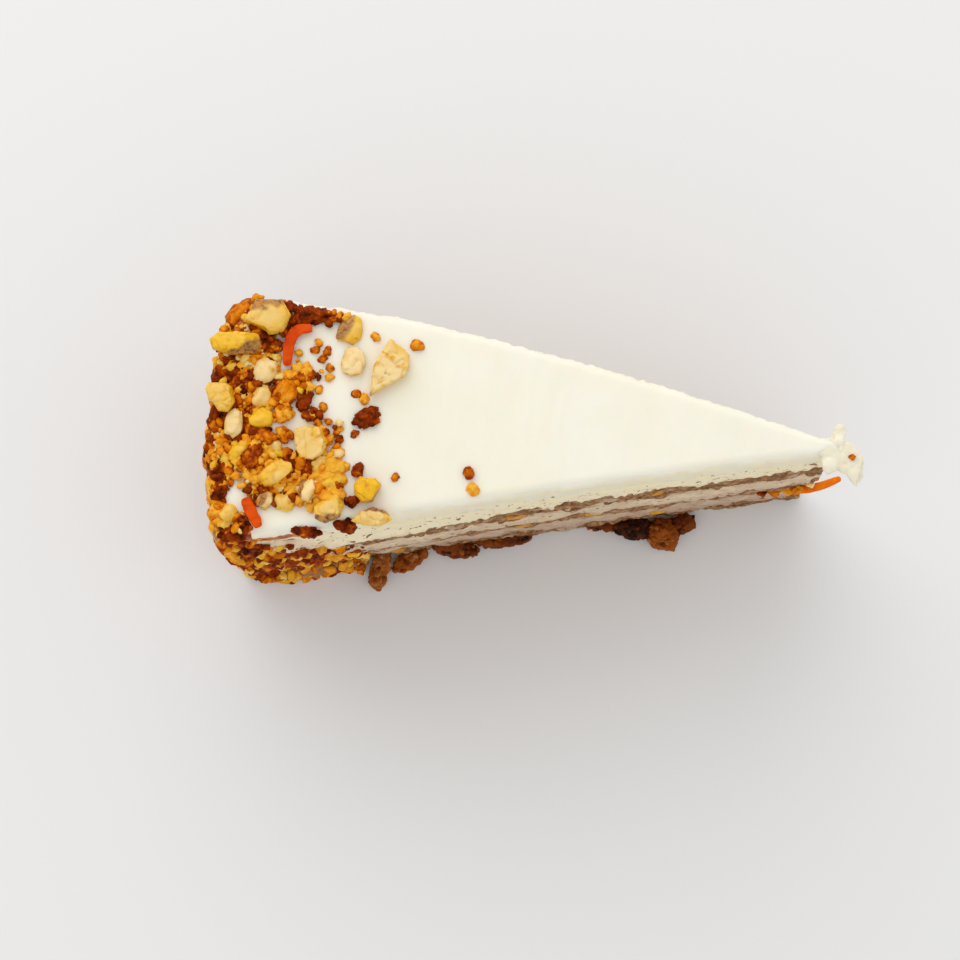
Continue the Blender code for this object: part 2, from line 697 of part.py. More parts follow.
def walnuts(collection):
    for number, (name, (x, y, height, outline)) in enumerate(WALNUTS.items()):
        centre = Vector((x * MM, y * MM, 0))
        piece = slab(name, centre, height, outline, 900 + number, collection, walnut_material(name))
        foot = min(vert.co.z for vert in piece.data.vertices)
        for vert in piece.data.vertices:
            vert.co.z += TOP + 2 * GAP - foot


def main():
    clear_scene()
    parts = new_collection("carrot_cake_slice")
    foot = 0
    layers = []
    for name in ("cake_layer_bottom", "cake_layer_middle", "cake_layer_top"):
        layers.append(cake_layer(name, foot, parts))
        foot += CAKE_HEIGHT + GAP
        if name != "cake_layer_top":
            filling(name.replace("cake_layer", "filling_over"), foot, parts)
            foot += FILLING_HEIGHT + GAP
    fuse_foot_lumps(layers[0])
    fuse_tip_shred(layers[1])
    fuse_icing(icing("icing", foot, parts))
    walnuts(parts)
    for name, path in TOP_SHREDS.items():
        strip(name, path, SHRED_WIDTH, SHRED_DEPTH, parts, carrot_material(name))


main()
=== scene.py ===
"""The looks of the carrot cake slice: fine crumb, cream icing, broken walnuts, crumbs and carrot shreds."""
import math
import random

import bmesh
import bpy
from mathutils import Matrix, Vector, noise


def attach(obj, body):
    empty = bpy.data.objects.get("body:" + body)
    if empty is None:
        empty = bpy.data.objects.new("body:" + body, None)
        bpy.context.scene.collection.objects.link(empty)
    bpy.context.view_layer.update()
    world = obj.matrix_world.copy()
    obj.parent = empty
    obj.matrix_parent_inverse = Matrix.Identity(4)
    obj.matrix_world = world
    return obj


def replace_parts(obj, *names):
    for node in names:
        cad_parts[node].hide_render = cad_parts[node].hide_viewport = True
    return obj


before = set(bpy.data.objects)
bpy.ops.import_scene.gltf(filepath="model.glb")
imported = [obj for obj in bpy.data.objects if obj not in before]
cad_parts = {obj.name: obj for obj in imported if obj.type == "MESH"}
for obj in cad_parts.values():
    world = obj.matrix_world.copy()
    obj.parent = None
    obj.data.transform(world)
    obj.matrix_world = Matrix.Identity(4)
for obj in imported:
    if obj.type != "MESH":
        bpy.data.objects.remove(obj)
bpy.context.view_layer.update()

MM = 0.001

# The round cake: its axis stands near the tip of the slice, and the slice points along +X.
AXIS_X = 66 * MM
HALF_ANGLE = math.radians(11.9)
TIP_RADIUS = 6 * MM
ICING_RADIUS = 128 * MM
COAT = 4.2 * MM
GAP = 0.3 * MM
CAKE_RADIUS = ICING_RADIUS - COAT - GAP

# Across runs from -1 on the near cut to 1 on the far one. Beyond this a point lies on a cut face.
ON_CUT = 0.99

# Levels above the foot of the slice.
TOP = 74 * MM
CAKE_HEIGHT = 17.5 * MM
FILLING_HEIGHT = 5.4 * MM
STOREY = CAKE_HEIGHT + FILLING_HEIGHT + 2 * GAP
ICING_FOOT = 2 * STOREY + CAKE_HEIGHT + GAP

# The far cut stands out in the middle and falls back before the corner.
FAR_BULGE = 1.5 * MM
FAR_MIDDLE = 58 * MM
FAR_REACH = 45 * MM
FAR_TAPER = 1.5 * MM

# The near cut is a little hollow along its top edge, and has a soft belly below that, most near the back.
NEAR_HOLLOW = 0.6 * MM
HOLLOW_LENGTH = 115 * MM
BELLY = 0.7 * MM
BACK_BELLY = 1.4 * MM
BELLY_LOW = 45 * MM
BELLY_HIGH = 52 * MM

# Rounding: the two back corners seen from above, the rim, and the soft edges along the cuts.
FAR_CORNER = 11 * MM
NEAR_CORNER = 3.5 * MM
RIM_ROUND = 4.2 * MM
FAR_EDGE = 1.6 * MM
NEAR_EDGE = 2.4 * MM

# Relief that the solids have too, and the size of its grain.
LAYER_WAVE = 1.1 * MM
WAVE_LENGTH = 26 * MM
CRUMB_RELIEF = 0.75 * MM
CRUMB_GRAIN = 4.5 * MM
CREAM_RELIEF = 0.3 * MM
FILLING_GRAIN = 7 * MM
ICING_GRAIN = 6 * MM
RIDGE_RELIEF = 0.3 * MM

# Faint ridges on the top: distance from the cake's axis and height in mm.
KNIFE_RIDGES = ((83, 0.16), (80.5, 0.12), (67.3, 0.14), (60.5, 0.18), (48, 0.1), (33, 0.1))

# Large walnut pieces on top: x, y and height in mm, and the outline seen from above, round that place.
WALNUTS = {
    "walnut_far_corner": (-53.2, 17.8, 5.0, (
        (-4.5, -1.0), (-2.6, 3.2), (2.7, 3.6), (4.5, 0.7), (3.4, -2.5), (0.9, -3.6), (-2.2, -2.4))),
    "walnut_far_rim": (-59.0, 12.3, 4.8, (
        (-5.3, 0.2), (-3.9, 1.9), (0.0, 2.1), (4.2, 2.0), (5.3, -0.2), (3.9, -1.7), (-1.0, -2.4),
        (-4.5, -1.6))),
    "walnut_back_rim": (-61.2, 1.4, 4.4, (
        (-3.1, 1.4), (-2.5, 2.7), (2.3, 2.8), (3.1, -0.5), (1.6, -2.8), (-0.2, -2.8), (-2.2, -0.8))),
    "walnut_large": (-28.5, 9.5, 3.6, (
        (-0.4, 6.0), (3.4, 3.2), (3.8, -0.1), (2.6, -1.8), (-3.8, -6.0), (-3.5, -2.4), (-3.3, 0.2))),
    "walnut_pale": (-35.9, 10.2, 2.2, (
        (-2.5, -0.2), (-1.8, 2.5), (-0.1, 3.3), (2.0, 2.1), (2.5, 0.0), (1.7, -2.3), (-0.4, -3.3),
        (-2.1, -2.1))),
    "walnut_middle": (-43.0, -6.4, 4.4, (
        (-3.4, 2.4), (-1.0, 3.3), (1.7, 3.1), (3.4, 0.8), (2.6, -2.0), (0.7, -3.3), (-1.8, -3.1),
        (-2.8, -1.2))),
    "walnut_near_rim": (-49.0, -12.8, 4.4, (
        (-3.8, -0.9), (-2.2, 1.0), (-0.5, 2.5), (3.4, 2.7), (3.8, 1.1), (2.2, -1.1), (-0.1, -2.3),
        (-2.4, -2.7))),
    "walnut_grey": (-42.9, -15.6, 4.2, (
        (-1.9, 2.6), (0.9, 2.4), (1.6, 0.2), (0.4, -2.4), (-1.2, -2.0))),
    "walnut_near_edge": (-38.5, -19.1, 4.4, (
        (-2.9, 0.3), (-1.0, 2.5), (1.7, 2.9), (3.0, 1.1), (2.3, -1.4), (-0.5, -2.9), (-2.5, -2.1))),
    "walnut_yellow": (-31.3, -14.9, 4.4, (
        (-2.7, 0.6), (-1.6, 2.6), (1.4, 2.5), (2.7, 1.2), (1.4, -2.2), (-0.9, -2.6), (-2.3, -0.9))),
    "walnut_almond_shaped": (-29.9, -19.9, 3.4, (
        (-4.1, -1.2), (-2.3, 0.8), (0.0, 1.8), (2.5, 1.2), (4.0, -0.4), (1.5, -1.9), (-1.8, -1.9))),
}

# Smaller pieces on top: x, y, length, width, height in mm, heading in degrees and kind.
TOP_PIECES = (
    (-36.8, 16.9, 5.8, 4.8, 3.4, 70, "skin"),
    (-53.0, 7.3, 6.2, 4.6, 4.0, 55, "nut"),
    (-58.4, -3.4, 6.0, 3.6, 3.8, 85, "nut"),
    (-53.0, -2.2, 4.8, 4.0, 3.6, 20, "nut"),
    (-53.4, 2.3, 4.8, 4.0, 3.4, 60, "nut"),
    (-32.4, -0.4, 5.6, 3.6, 2.6, 25, "dark"),
    (-44.6, 19.0, 6.2, 3.4, 3.0, 5, "dark"),
    (-48.9, 3.6, 5.8, 4.6, 2.8, 70, "golden"),
    (-45.0, 1.6, 3.8, 2.6, 2.4, 80, "dark"),
    (-47.2, -18.0, 4.4, 4.0, 3.6, 0, "nut"),
    (-38.0, -13.6, 5.6, 3.0, 3.0, 5, "nut"),
    (-34.3, -17.2, 2.6, 2.4, 2.4, 0, "dark"),
    (-33.6, -10.9, 2.8, 2.2, 2.2, 80, "dark"),
    (-54.2, -9.6, 5.6, 4.8, 3.6, 60, "golden"),
    (-57.9, -21.2, 3.8, 3.4, 3.4, 20, "nut"),
    (-57.0, -8.8, 4.4, 3.2, 3.0, 40, "nut"),
)

# Small crumbs on the open icing: x, y and width in mm.
TOP_CRUMBS = (
    (-43.1, -0.4, 1.8), (-41.2, 1.0, 1.7), (-41.0, -3.5, 1.8), (-42.9, 13.7, 1.5),
    (-43.6, 12.2, 1.6), (-42.0, 10.6, 1.6), (-41.2, 12.2, 1.6), (-40.5, 8.9, 1.5),
    (-43.5, 7.4, 1.5), (-40.4, 7.0, 1.6), (-42.2, 4.4, 1.6), (-33.2, 3.2, 2.0),
    (-31.9, 15.6, 1.7), (-23.7, 14.6, 2.4), (-34.6, -3.8, 1.5), (-26.1, -11.8, 1.6),
    (-11.8, -10.0, 2.2), (-10.7, -13.2, 2.4), (-47.6, -8.4, 2.0), (-39.2, -9.6, 2.2),
    (-37.2, -7.9, 2.0), (-38.9, -11.4, 2.0), (-36.0, -10.4, 1.9), (-34.9, 4.1, 1.7),
)

# Crumbs that hang over the near edge: x, y, z, length, width, height in mm and heading.
EDGE_CRUMBS = (
    (-35.2, -21.9, 73.0, 4.4, 2.8, 3.2, 2),
    (-42.9, -23.5, 72.8, 6.8, 2.2, 2.0, -6),
    (-57.0, -25.0, 73.2, 5.4, 3.2, 3.4, 10),
)

# Lumps of cake squashed out along the foot of the near cut: x, y, length, width and height in mm and heading.
FOOT_LUMPS = (
    (-43.0, -23.3, 19.0, 5.2, 5.4, 11),
    (-30.6, -23.4, 9.8, 4.2, 4.6, 80),
    (-24.3, -21.0, 8.6, 4.0, 3.6, 38),
    (-14.4, -17.7, 10.0, 4.8, 3.2, -6),
    (-4.2, -15.0, 12.5, 4.0, 3.2, 9),
    (17.6, -10.1, 9.5, 3.2, 2.8, 2),
    (24.4, -10.6, 9.0, 5.2, 3.8, -6),
    (30.8, -11.6, 7.0, 6.8, 4.4, 0),
    (34.6, -9.3, 6.8, 4.2, 3.2, 30),
)

# The strip of carrot that sticks out of the middle cake layer at the tip, in mm.
TIP_SHRED = ((54.5, -1.6, 27.0), (57.6, -2.9, 27.5), (61.4, -2.2, 28.6), (65.9, -0.3, 30.0))
TIP_SHRED_WIDTH = 1.8 * MM
TIP_SHRED_DEPTH = 1.2 * MM

# Strips of carrot on the top, in mm.
TOP_SHREDS = {
    "carrot_shred_far": ((-44.4, 16.4, 75.0), (-47.4, 15.6, 75.2), (-48.7, 12.8, 75.3), (-48.8, 8.6, 75.0)),
    "carrot_shred_near": ((-55.0, -18.0, 75.1), (-53.7, -20.4, 75.2), (-51.8, -23.5, 75.0)),
}
SHRED_WIDTH = 2.3 * MM
SHRED_DEPTH = 0.9 * MM

# The smear of icing that the knife left across the tip, in two lobes: x, y, z and height in mm, and the
# outline seen from above, round that place.
TIP_SMEAR = (
    (59.4, 0.0, 72.9, 2.6, (
        (-2.9, 1.5), (-1.0, 2.1), (0.0, 4.5), (1.4, 5.0), (2.3, 3.7), (1.9, 1.6), (1.7, -1.8), (0.6, -4.8),
        (-1.0, -5.5), (-2.2, -4.4))),
    (63.1, -3.1, 72.6, 2.4, (
        (-1.9, 4.6), (-0.3, 4.3), (1.3, 2.6), (2.4, 0.7), (2.5, -2.1), (1.1, -4.5), (0.0, -3.4), (-1.4, -1.7),
        (-3.0, 0.4), (-2.6, 2.9))),
)

# Chopped nuts on the back wall, from round the near corner to round the far one, measured from its middle.
WALL_ROWS = 11
WALL_COLUMNS = 8
WALL_NEAR = -23.8 * MM
WALL_FAR = 23.4 * MM
WALL_LOW = 3.6 * MM
WALL_HIGH = 69.1 * MM

# The band of small nuts along the rim of the top. A streak across it is bare, and so is a strip along the
# near edge: sideways from -1 to 1.
RIM_BAND = 15.5 * MM
RIM_TRIES = 900
STREAK_FROM = -0.82
STREAK_TO = -0.46
STREAK_BAND = 6 * MM
STRIP_TO = -0.78
STRIP_BAND = 6 * MM

# Small pieces follow the rounded rim down by this share, and keep this far inside the cuts.
RIM_LEAN = 0.32
CUT_MARGIN = 1.1 * MM

# The first seed of the pieces of each kind.
LOBE_SEED = 40
BRIDGE_SEED = 60
LUMP_SEED = 70
INCLUSION_SEED = 300
WALL_SEED = 500
TIP_CRUMB_SEED = 800
WALNUT_SEED = 900

# Crumbs at the tip: x, y, z and width in mm, kind and tone.
TIP_CRUMBS = (
    (62.8, -1.7, 73.9, 1.2, "golden", 0.62),
    (57.0, -3.1, 28.2, 2.2, "golden", 0.35),
    (54.9, -3.0, 27.2, 2.4, "golden", 0.2),
    (52.3, -3.3, 26.8, 2.4, "golden", 0.5),
    (49.8, -3.9, 26.8, 2.2, "dark", 0.5),
    (60.2, -0.6, 34.0, 2.0, "golden", 0.5),
    (59.3, -2.0, 31.8, 1.8, "nut", -0.2),
)

# How far small crumbs keep from the middle of a carrot strip, in mm, beyond their own reach.
STRIP_CLEARANCE = 1.3

# How many carrot strips and nuts lie in the cut faces.
INCLUSIONS = 26

# The camera, almost straight above.
EYE = Vector((-4.8, -80.4, 638.8)) * MM
AZIMUTH = math.radians(3.9)
ELEVATION = math.radians(83)
LENS = 109.16

# The room: how bright it is, how far the floor reaches, and the window's place, width and power.
ROOM_LIGHT = 0.83
FLOOR_REACH = 4
WINDOW_PLACE = (-0.35, 0.75, 0.8)
WINDOW_WIDTH = 1.3
WINDOW_POWER = 5

# Bare icing: everything on top beyond this x and y in mm, and patches between the crumbs, each with its
# x, y and half its size both ways in mm.
OPEN_X = -37
OPEN_Y = -9
OPEN_PATCHES = ((-41, 13, 6, 5), (-47.8, -2.9, 3.7, 5.6), (-43, -21.6, 9, 2.3), (-37, 3.5, 6.5, 5))

# The heap of crumbs between the large walnuts: x, y, reach along x and y in mm, and how many there are.
CROWD = (-42.5, -13.2, 6.5, 5.6, 240)

# How many loose crumbs are drawn for the rim, the back wall, the ends of the cuts and the foot.
RIM_CRUMBS = 2500
WALL_CRUMBS = 1000
CUT_CRUMBS = 900
FOOT_CRUMBS = 260

# Crumbs at least this wide, in mm, get more faces.
FINE_WIDTH = 1.8

# Places where the crumbs are darker or, below nought, paler: x, y and reach in mm, and how much darker.
CRUMB_PLACES = (
    (-44.6, 19.0, 4.0, 0.5), (-61.0, -4.0, 5.0, 0.5), (-63.0, -12.0, 4.0, 0.5), (-56.0, -25.0, 4.0, 0.5),
    (-60.0, 8.0, 2.5, 0.5), (-54.0, 13.5, 2.5, 0.5), (-42.0, -13.0, 7.0, -0.12), (-50.0, -3.0, 4.0, 0.1),
)

# Grains stuck to a lump of crumb: how many to a square millimetre, and how deep the middle of each one lies.
GRAINS = 1.3
GRAIN_SUNK = 0.3 * MM

# Painted shade: how much deeper the tone of a nut and of a crumb gets from its top to its foot, as if shade
# fell on its lower side.
NUT_PAINTED_SHADE = 0.65
CRUMB_PAINTED_SHADE = 0.45

# How light each foot lump is, from near black at 0 over red and orange brown to tan at 1 and more. The
# near-black end is the lumps' dark crumb with painted contact shadow in it.
LUMP_TONES = (1.2, 0.72, 0.65, 0.45, 0.4, 0.4, 0.1, 0.6, 0.35)

# Soft bodies that join the smear at the tip to the icing: x, y, z, length, width, height in mm and heading.
SMEAR_BRIDGES = (
    (58.6, -0.2, 72.9, 5.6, 4.4, 2.4, 0),
    (61.4, -1.4, 72.8, 4.4, 3.4, 2.2, 120),
    (60.2, 3.0, 72.9, 3.4, 2.6, 2.0, 90),
    (61.4, -3.6, 72.7, 4.8, 3.0, 2.0, 160),
)

# What each large walnut looks like: its tone from pale at 0 over yellow to amber at 1, and any side that
# still has its skin.
WALNUT_LOOKS = {
    "walnut_far_corner": (0.52, (-0.2, 1.0)),
    "walnut_far_rim": (0.74, (0.6, -1.0)),
    "walnut_back_rim": (0.58, None),
    "walnut_large": (0.26, None),
    "walnut_pale": (0.04, None),
    "walnut_middle": (0.36, None),
    "walnut_near_rim": (0.56, None),
    "walnut_grey": (0.22, (-1.0, 0.2)),
    "walnut_near_edge": (0.52, (0.2, -1.0)),
    "walnut_yellow": (0.86, None),
    "walnut_almond_shaped": (0.34, (0.1, 1.0)),
}

# Cream that the knife dragged down a cut: the foot of the cream, how far it was dragged, and how white it is.
DRAGGED = (
    (ICING_FOOT, 12.0 * MM, 1.0),
    (STOREY + CAKE_HEIGHT + GAP, 10.5 * MM, 0.60),
    (CAKE_HEIGHT + GAP, 13.0 * MM, 0.38),
)

# Linear colours.
IVORY = (0.91, 0.88, 0.76)
IVORY_DEEP = (0.89, 0.85, 0.69)
# Ivory with painted warm shade: the warm reflected light in the shade of the cut faces, painted into the
# icing's colour there.
IVORY_PAINTED_WARM_SHADE = (0.92, 0.80, 0.54)
SMEAR_IVORY = (0.80, 0.73, 0.55)
AMBER = (0.64, 0.26, 0.008)
YELLOW = (0.90, 0.52, 0.012)
HONEY = (0.84, 0.54, 0.12)
PALE = (0.88, 0.67, 0.32)
SKIN_TAN = (0.50, 0.25, 0.07)
SKIN_BROWN = (0.17, 0.055, 0.014)
GOLDEN_PALE = (0.90, 0.45, 0.04)
GOLDEN = (0.76, 0.23, 0.002)
GOLDEN_DEEP = (0.38, 0.055, 0.001)
DARK = (0.20, 0.024, 0.001)
DARK_DEEP = (0.05, 0.006, 0.001)
CARROT = (0.78, 0.09, 0.001)
CARROT_DEEP = (0.56, 0.04, 0.001)
CARROT_BRIGHT = (0.93, 0.23, 0.004)
CRUMB_LIGHT = (0.50, 0.29, 0.13)
CRUMB_BROWN = (0.26, 0.12, 0.045)
CRUMB_DARK = (0.10, 0.035, 0.012)
SMEAR_BROWN = (0.36, 0.20, 0.10)
SMEAR_TAN = (0.53, 0.37, 0.25)
SMEAR_PALE = (0.67, 0.51, 0.33)
LUMP_TAN = (0.42, 0.19, 0.07)
LUMP_ORANGE = (0.34, 0.085, 0.003)
LUMP_RED = (0.15, 0.028, 0.003)
# Near black: dark crumb with painted contact shadow.
LUMP_BLACK_WITH_SHADOW = (0.022, 0.005, 0.002)
FLOOR = (0.82, 0.82, 0.82)


def ease(low, high, value):
    share = min(max((value - low) / (high - low), 0), 1)
    return share * share * (3 - 2 * share)


def steps(first, last, count):
    return [first + (last - first) * step / count for step in range(count + 1)]


def rounded(first, second, radius):
    """Two depths below two faces that meet at an edge, moved so that the edge becomes an arc."""
    first_in = radius - first
    second_in = radius - second
    if first_in <= 0 or second_in <= 0:
        return first, second
    pull = max(first_in, second_in) / math.hypot(first_in, second_in)
    return radius - first_in * pull, radius - second_in * pull


def far_shift(radius):
    """How far the far cut stands out of a straight line from the cake's axis."""
    bulge = FAR_BULGE * math.cos(math.pi / 2 * (radius - FAR_MIDDLE) / FAR_REACH)
    return bulge - FAR_TAPER * ease(92 * MM, 118 * MM, radius)


def near_shift(radius, height):
    """How far the near cut stands out: hollow at its top edge, with a belly below."""
    hollow = NEAR_HOLLOW * math.sin(math.pi * min(radius / HOLLOW_LENGTH, 1)) * ease(BELLY_HIGH, TOP, height)
    belly = BELLY + BACK_BELLY * ease(55 * MM, 102 * MM, radius)
    belly *= 1 - 0.6 * ease(112 * MM, ICING_RADIUS, radius)
    return belly * ease(5 * MM, BELLY_LOW, height) * (1 - 0.8 * ease(BELLY_HIGH, TOP, height)) - hollow


def in_plan(radius, across, height):
    """The place at a radius from the cake's axis, across from -1 on the near cut to 1 on the far one."""
    angle = across * HALF_ANGLE
    shift = across * (far_shift(radius) if across > 0 else near_shift(radius, height))
    return AXIS_X - radius * math.cos(angle), radius * math.sin(angle) + shift


def layer_wave(radius, across):
    """How much the layers rise and sink along the slice. It fades out towards the back wall."""
    near = noise.noise(Vector((radius / WAVE_LENGTH, 0.4, 4.3)))
    far = noise.noise(Vector((radius / WAVE_LENGTH, 5.9, 4.3)))
    wave = near + (far - near) * (across + 1) / 2
    return LAYER_WAVE * wave * ease(CAKE_RADIUS, CAKE_RADIUS - 20 * MM, radius)


def placed(radius, across, height):
    """A point of the cake, with its layers wavy and its back corners and rim rounded."""
    across = math.sin(across * math.pi / 2)
    wave = layer_wave(radius, across) * ease(0, 12 * MM, height) * ease(TOP, TOP - 12 * MM, height)
    side = math.copysign(1, across)
    corner, edge = (FAR_CORNER, FAR_EDGE) if across > 0 else (NEAR_CORNER, NEAR_EDGE)
    depth = ICING_RADIUS - radius
    half_width = radius * HALF_ANGLE
    depth, inset = rounded(depth, (1 - abs(across)) * half_width, corner)
    below = TOP - height
    depth, below = rounded(depth, below, RIM_ROUND)
    inset, below = rounded(inset, below, min(edge, 0.8 * half_width))
    radius = ICING_RADIUS - depth
    x, y = in_plan(radius, side * (1 - inset / (radius * HALF_ANGLE)), TOP - below)
    return Vector((x, y, TOP - below + wave))


def cut_relief(point, across, amount, grain):
    """Moves a point of a cut face in and out, and leaves the other points."""
    if abs(across) < ON_CUT:
        return point
    rough = noise.noise(Vector((point.x / grain, point.z / grain, 9.1 * across)))
    return point + Vector((0, math.copysign(1, across) * amount * rough, 0))


def tip_relief(point, radius, amount):
    if radius > TIP_RADIUS + 0.1 * MM:
        return point
    return point + Vector((amount * noise.noise(Vector((3.3, point.y / (2 * MM), point.z / (7 * MM)))), 0, 0))


def raise_faces(block, faces, heights):
    """Extrudes the faces to each of the heights in turn."""
    for height in heights:
        edges = list({edge for face in faces for edge in face.edges})
        made = bmesh.ops.extrude_face_region(block, geom=faces + edges)["geom"]
        faces = [item for item in made if isinstance(item, bmesh.types.BMFace)]
        for item in made:
            if isinstance(item, bmesh.types.BMVert):
                item.co.z = height


def sector_block(radii, columns, heights):
    """A closed block in cake coordinates: radius, across and height stand in x, y and z."""
    block = bmesh.new()
    last = len(radii) - 1
    bmesh.ops.create_grid(block, x_segments=last, y_segments=columns, size=1)
    for vert in block.verts:
        vert.co = (radii[round((vert.co.x + 1) / 2 * last)], vert.co.y, heights[0])
    raise_faces(block, block.faces[:], heights[1:])
    return block


def facing_out(block):
    bmesh.ops.recalc_face_normals(block, faces=block.faces)
    if block.calc_volume(signed=True) < 0:
        bmesh.ops.reverse_faces(block, faces=block.faces)
    return block


def new_item(name, data):
    item = bpy.data.objects.new(name, data)
    bpy.context.scene.collection.objects.link(item)
    return item


def show(name, mesh, material):
    """Puts a finished mesh in the scene as a piece of the slice."""
    for face in mesh.polygons:
        face.use_smooth = True
    mesh.materials.append(material)
    item = new_item(name, mesh)
    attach(item, "root")
    return item


def mesh_of(block, name):
    mesh = bpy.data.meshes.new(name)
    block.to_mesh(mesh)
    block.free()
    return mesh


# Cake and cream

def cake_grain(point, across):
    """Fine crumb on a cut face: lumps stand out, and bubbles go in."""
    place = Vector((point.x, across * 0.3, point.z))
    lumps = 0.42 * noise.noise(place / (1.7 * MM)) + 0.16 * noise.noise(place / (0.7 * MM))
    bubble = noise.voronoi(place / (2.6 * MM))[0][0]
    return (lumps - 0.75 * ease(0.36, 0.05, bubble)) * MM


def cut_grain(point, across):
    return point + Vector((0, math.copysign(1, across) * cake_grain(point, across), 0))


def fine_cake(name, foot, material):
    radii = steps(TIP_RADIUS, CAKE_RADIUS, 290)
    block = sector_block(radii, 4, steps(foot, foot + CAKE_HEIGHT, 42))
    for vert in block.verts:
        radius, across, height = vert.co
        point = cut_relief(placed(radius, across, height), across, CRUMB_RELIEF, CRUMB_GRAIN)
        if abs(across) > ON_CUT:
            point = cut_grain(point, across)
        vert.co = tip_relief(point, radius, CRUMB_RELIEF)
    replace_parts(show(name + "_fine", mesh_of(facing_out(block), name), material), name)


def fine_filling(name, foot, material):
    radii = steps(TIP_RADIUS, CAKE_RADIUS, 250)
    block = sector_block(radii, 4, steps(foot, foot + FILLING_HEIGHT, 14))
    for vert in block.verts:
        radius, across, height = vert.co
        point = cut_relief(placed(radius, across, height), across, CREAM_RELIEF, FILLING_GRAIN)
        if abs(across) > ON_CUT:
            point = point + drag_marks(point, across, 0.3 * MM)
        vert.co = tip_relief(point, radius, CREAM_RELIEF)
    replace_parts(show(name + "_fine", mesh_of(facing_out(block), name), material), name)


def drag_marks(point, across, amount):
    """Marks that the knife drags down through cream: narrow along the slice and long from top to foot."""
    streak = noise.noise(Vector((point.x / (1.3 * MM), 2.2 * across, point.z / (6 * MM))))
    fine = noise.noise(Vector((point.x / (0.6 * MM), 5.2 * across, point.z / (1.1 * MM))))
    return Vector((0, math.copysign(1, across) * amount * (0.7 * streak + 0.3 * fine), 0))


def top_marks(point):
    """Ridges and small dents on the top of the icing."""
    radius = math.hypot(AXIS_X - point.x, point.y)
    broad = noise.noise(Vector((radius / (9 * MM), point.y / (60 * MM), 1.7)))
    fine = noise.noise(Vector((radius / (2.6 * MM), point.y / (30 * MM), 6.1)))
    lift = RIDGE_RELIEF * broad + 0.07 * MM * fine
    for ridge, height in KNIFE_RIDGES:
        off = (radius / MM - ridge + 0.9 * noise.noise(Vector((point.y / (9 * MM), ridge, 0)))) / 0.8
        fade = 0.5 + 0.5 * noise.noise(Vector((point.y / (5 * MM), 3.0 * ridge, 0)))
        lift += height * MM * fade * math.exp(-off * off)
    soft = noise.noise(Vector((point.x / (5 * MM), point.y / (5 * MM), 2.9)))
    return Vector((0, 0, (lift + 0.1 * MM * soft) * ease(TOP - 3 * MM, TOP, point.z)))


def rim_stain(radius, across, height):
    """How thickly crumb covers the icing: the back wall, the ends of the cuts and a ragged band on top."""
    if height < TOP - 3 * MM:
        wall = ease(CAKE_RADIUS - 1 * MM, CAKE_RADIUS + 2 * MM, radius)
        end = 0.85 * ease(98 * MM, 121 * MM, radius) if abs(across) > 0.9 else 0
        return max(wall, end)
    ragged = 3.5 * MM * noise.noise(Vector((across * 5, 2.2, 0.5)))
    band = ease(12 * MM, 6 * MM, ICING_RADIUS - radius + ragged)
    return band * (0.1 if bare_of_nuts(ICING_RADIUS - radius, across) else 0.9)


def fine_icing(material):
    radii = steps(TIP_RADIUS, CAKE_RADIUS + GAP, 220)
    radii += steps(CAKE_RADIUS + GAP, ICING_RADIUS, 6)[1:]
    depths = (8.6, 7.6, 6.6, 5.6, 4.6, 3.7, 2.9, 2.2, 1.6, 1.1, 0.7, 0.35, 0.1, 0)
    block = sector_block(radii, 48, [ICING_FOOT] + [TOP - depth * MM for depth in depths])
    stain = block.verts.layers.float.new("stain")
    side = block.verts.layers.float.new("side")
    behind = []
    for face in block.faces:
        middle = face.calc_center_median()
        if middle.x > CAKE_RADIUS + GAP and abs(middle.z - ICING_FOOT) < 0.01 * MM:
            behind.append(face)
    raise_faces(block, behind, steps(ICING_FOOT, 0, 60)[1:])
    for vert in block.verts:
        radius, across, height = vert.co
        vert[stain] = rim_stain(radius, math.sin(across * math.pi / 2), height)
        # The side share marks the cut faces, fading in over the rounded top edge; the paint gives them
        # painted warm shade.
        vert[side] = ease(0, 1.6 * MM, TOP - height) if abs(across) > ON_CUT else 0
        point = cut_relief(placed(radius, across, height), across, CREAM_RELIEF, ICING_GRAIN)
        if abs(across) > ON_CUT and height < TOP - 0.3 * MM:
            point = point + drag_marks(point, across, 0.5 * MM)
        vert.co = tip_relief(point, radius, CREAM_RELIEF) + top_marks(point)
    return show("icing_fine", mesh_of(facing_out(block), "icing_fine"), material)


def cream_cover(radius, height, side):
    """How much dragged cream lies on a cut face, from 0 to 1, and how white it is there."""
    along = radius / MM
    cover = 0
    white = 0.3
    for number, (foot, drop, whiteness) in enumerate(DRAGGED):
        seed = 11.0 * side + 5.3 * number
        teeth = noise.noise(Vector((along / 1.1, seed, 0.3)))
        teeth += 0.8 * noise.noise(Vector((along / 3.4, seed, 4.1)))
        broad = noise.noise(Vector((along / 14, seed, 7.7)))
        reach = drop * (0.85 + 0.24 * teeth + 0.3 * broad)
        if number == 0:
            reach *= 0.75 + 0.55 * ease(60, 105, along)
        below = foot - height
        top = 3 * MM if number == 0 else -FILLING_HEIGHT
        above = ease(-2.2 * MM, 0.2 * MM, below - top + 0.8 * MM * teeth) if number else 1
        amount = ease(reach, 0.72 * reach, below) * above
        if amount > cover:
            cover = amount
            white = whiteness - 0.16 * ease(0, reach, below) - 0.3 * ease(100, 120, along)
    film = noise.fractal(Vector((along / 6, 11.0 * side, height / (7 * MM))), 0.7, 2.1, 4)
    return max(cover, 0.9 * ease(0.22, 0.6, film)), white


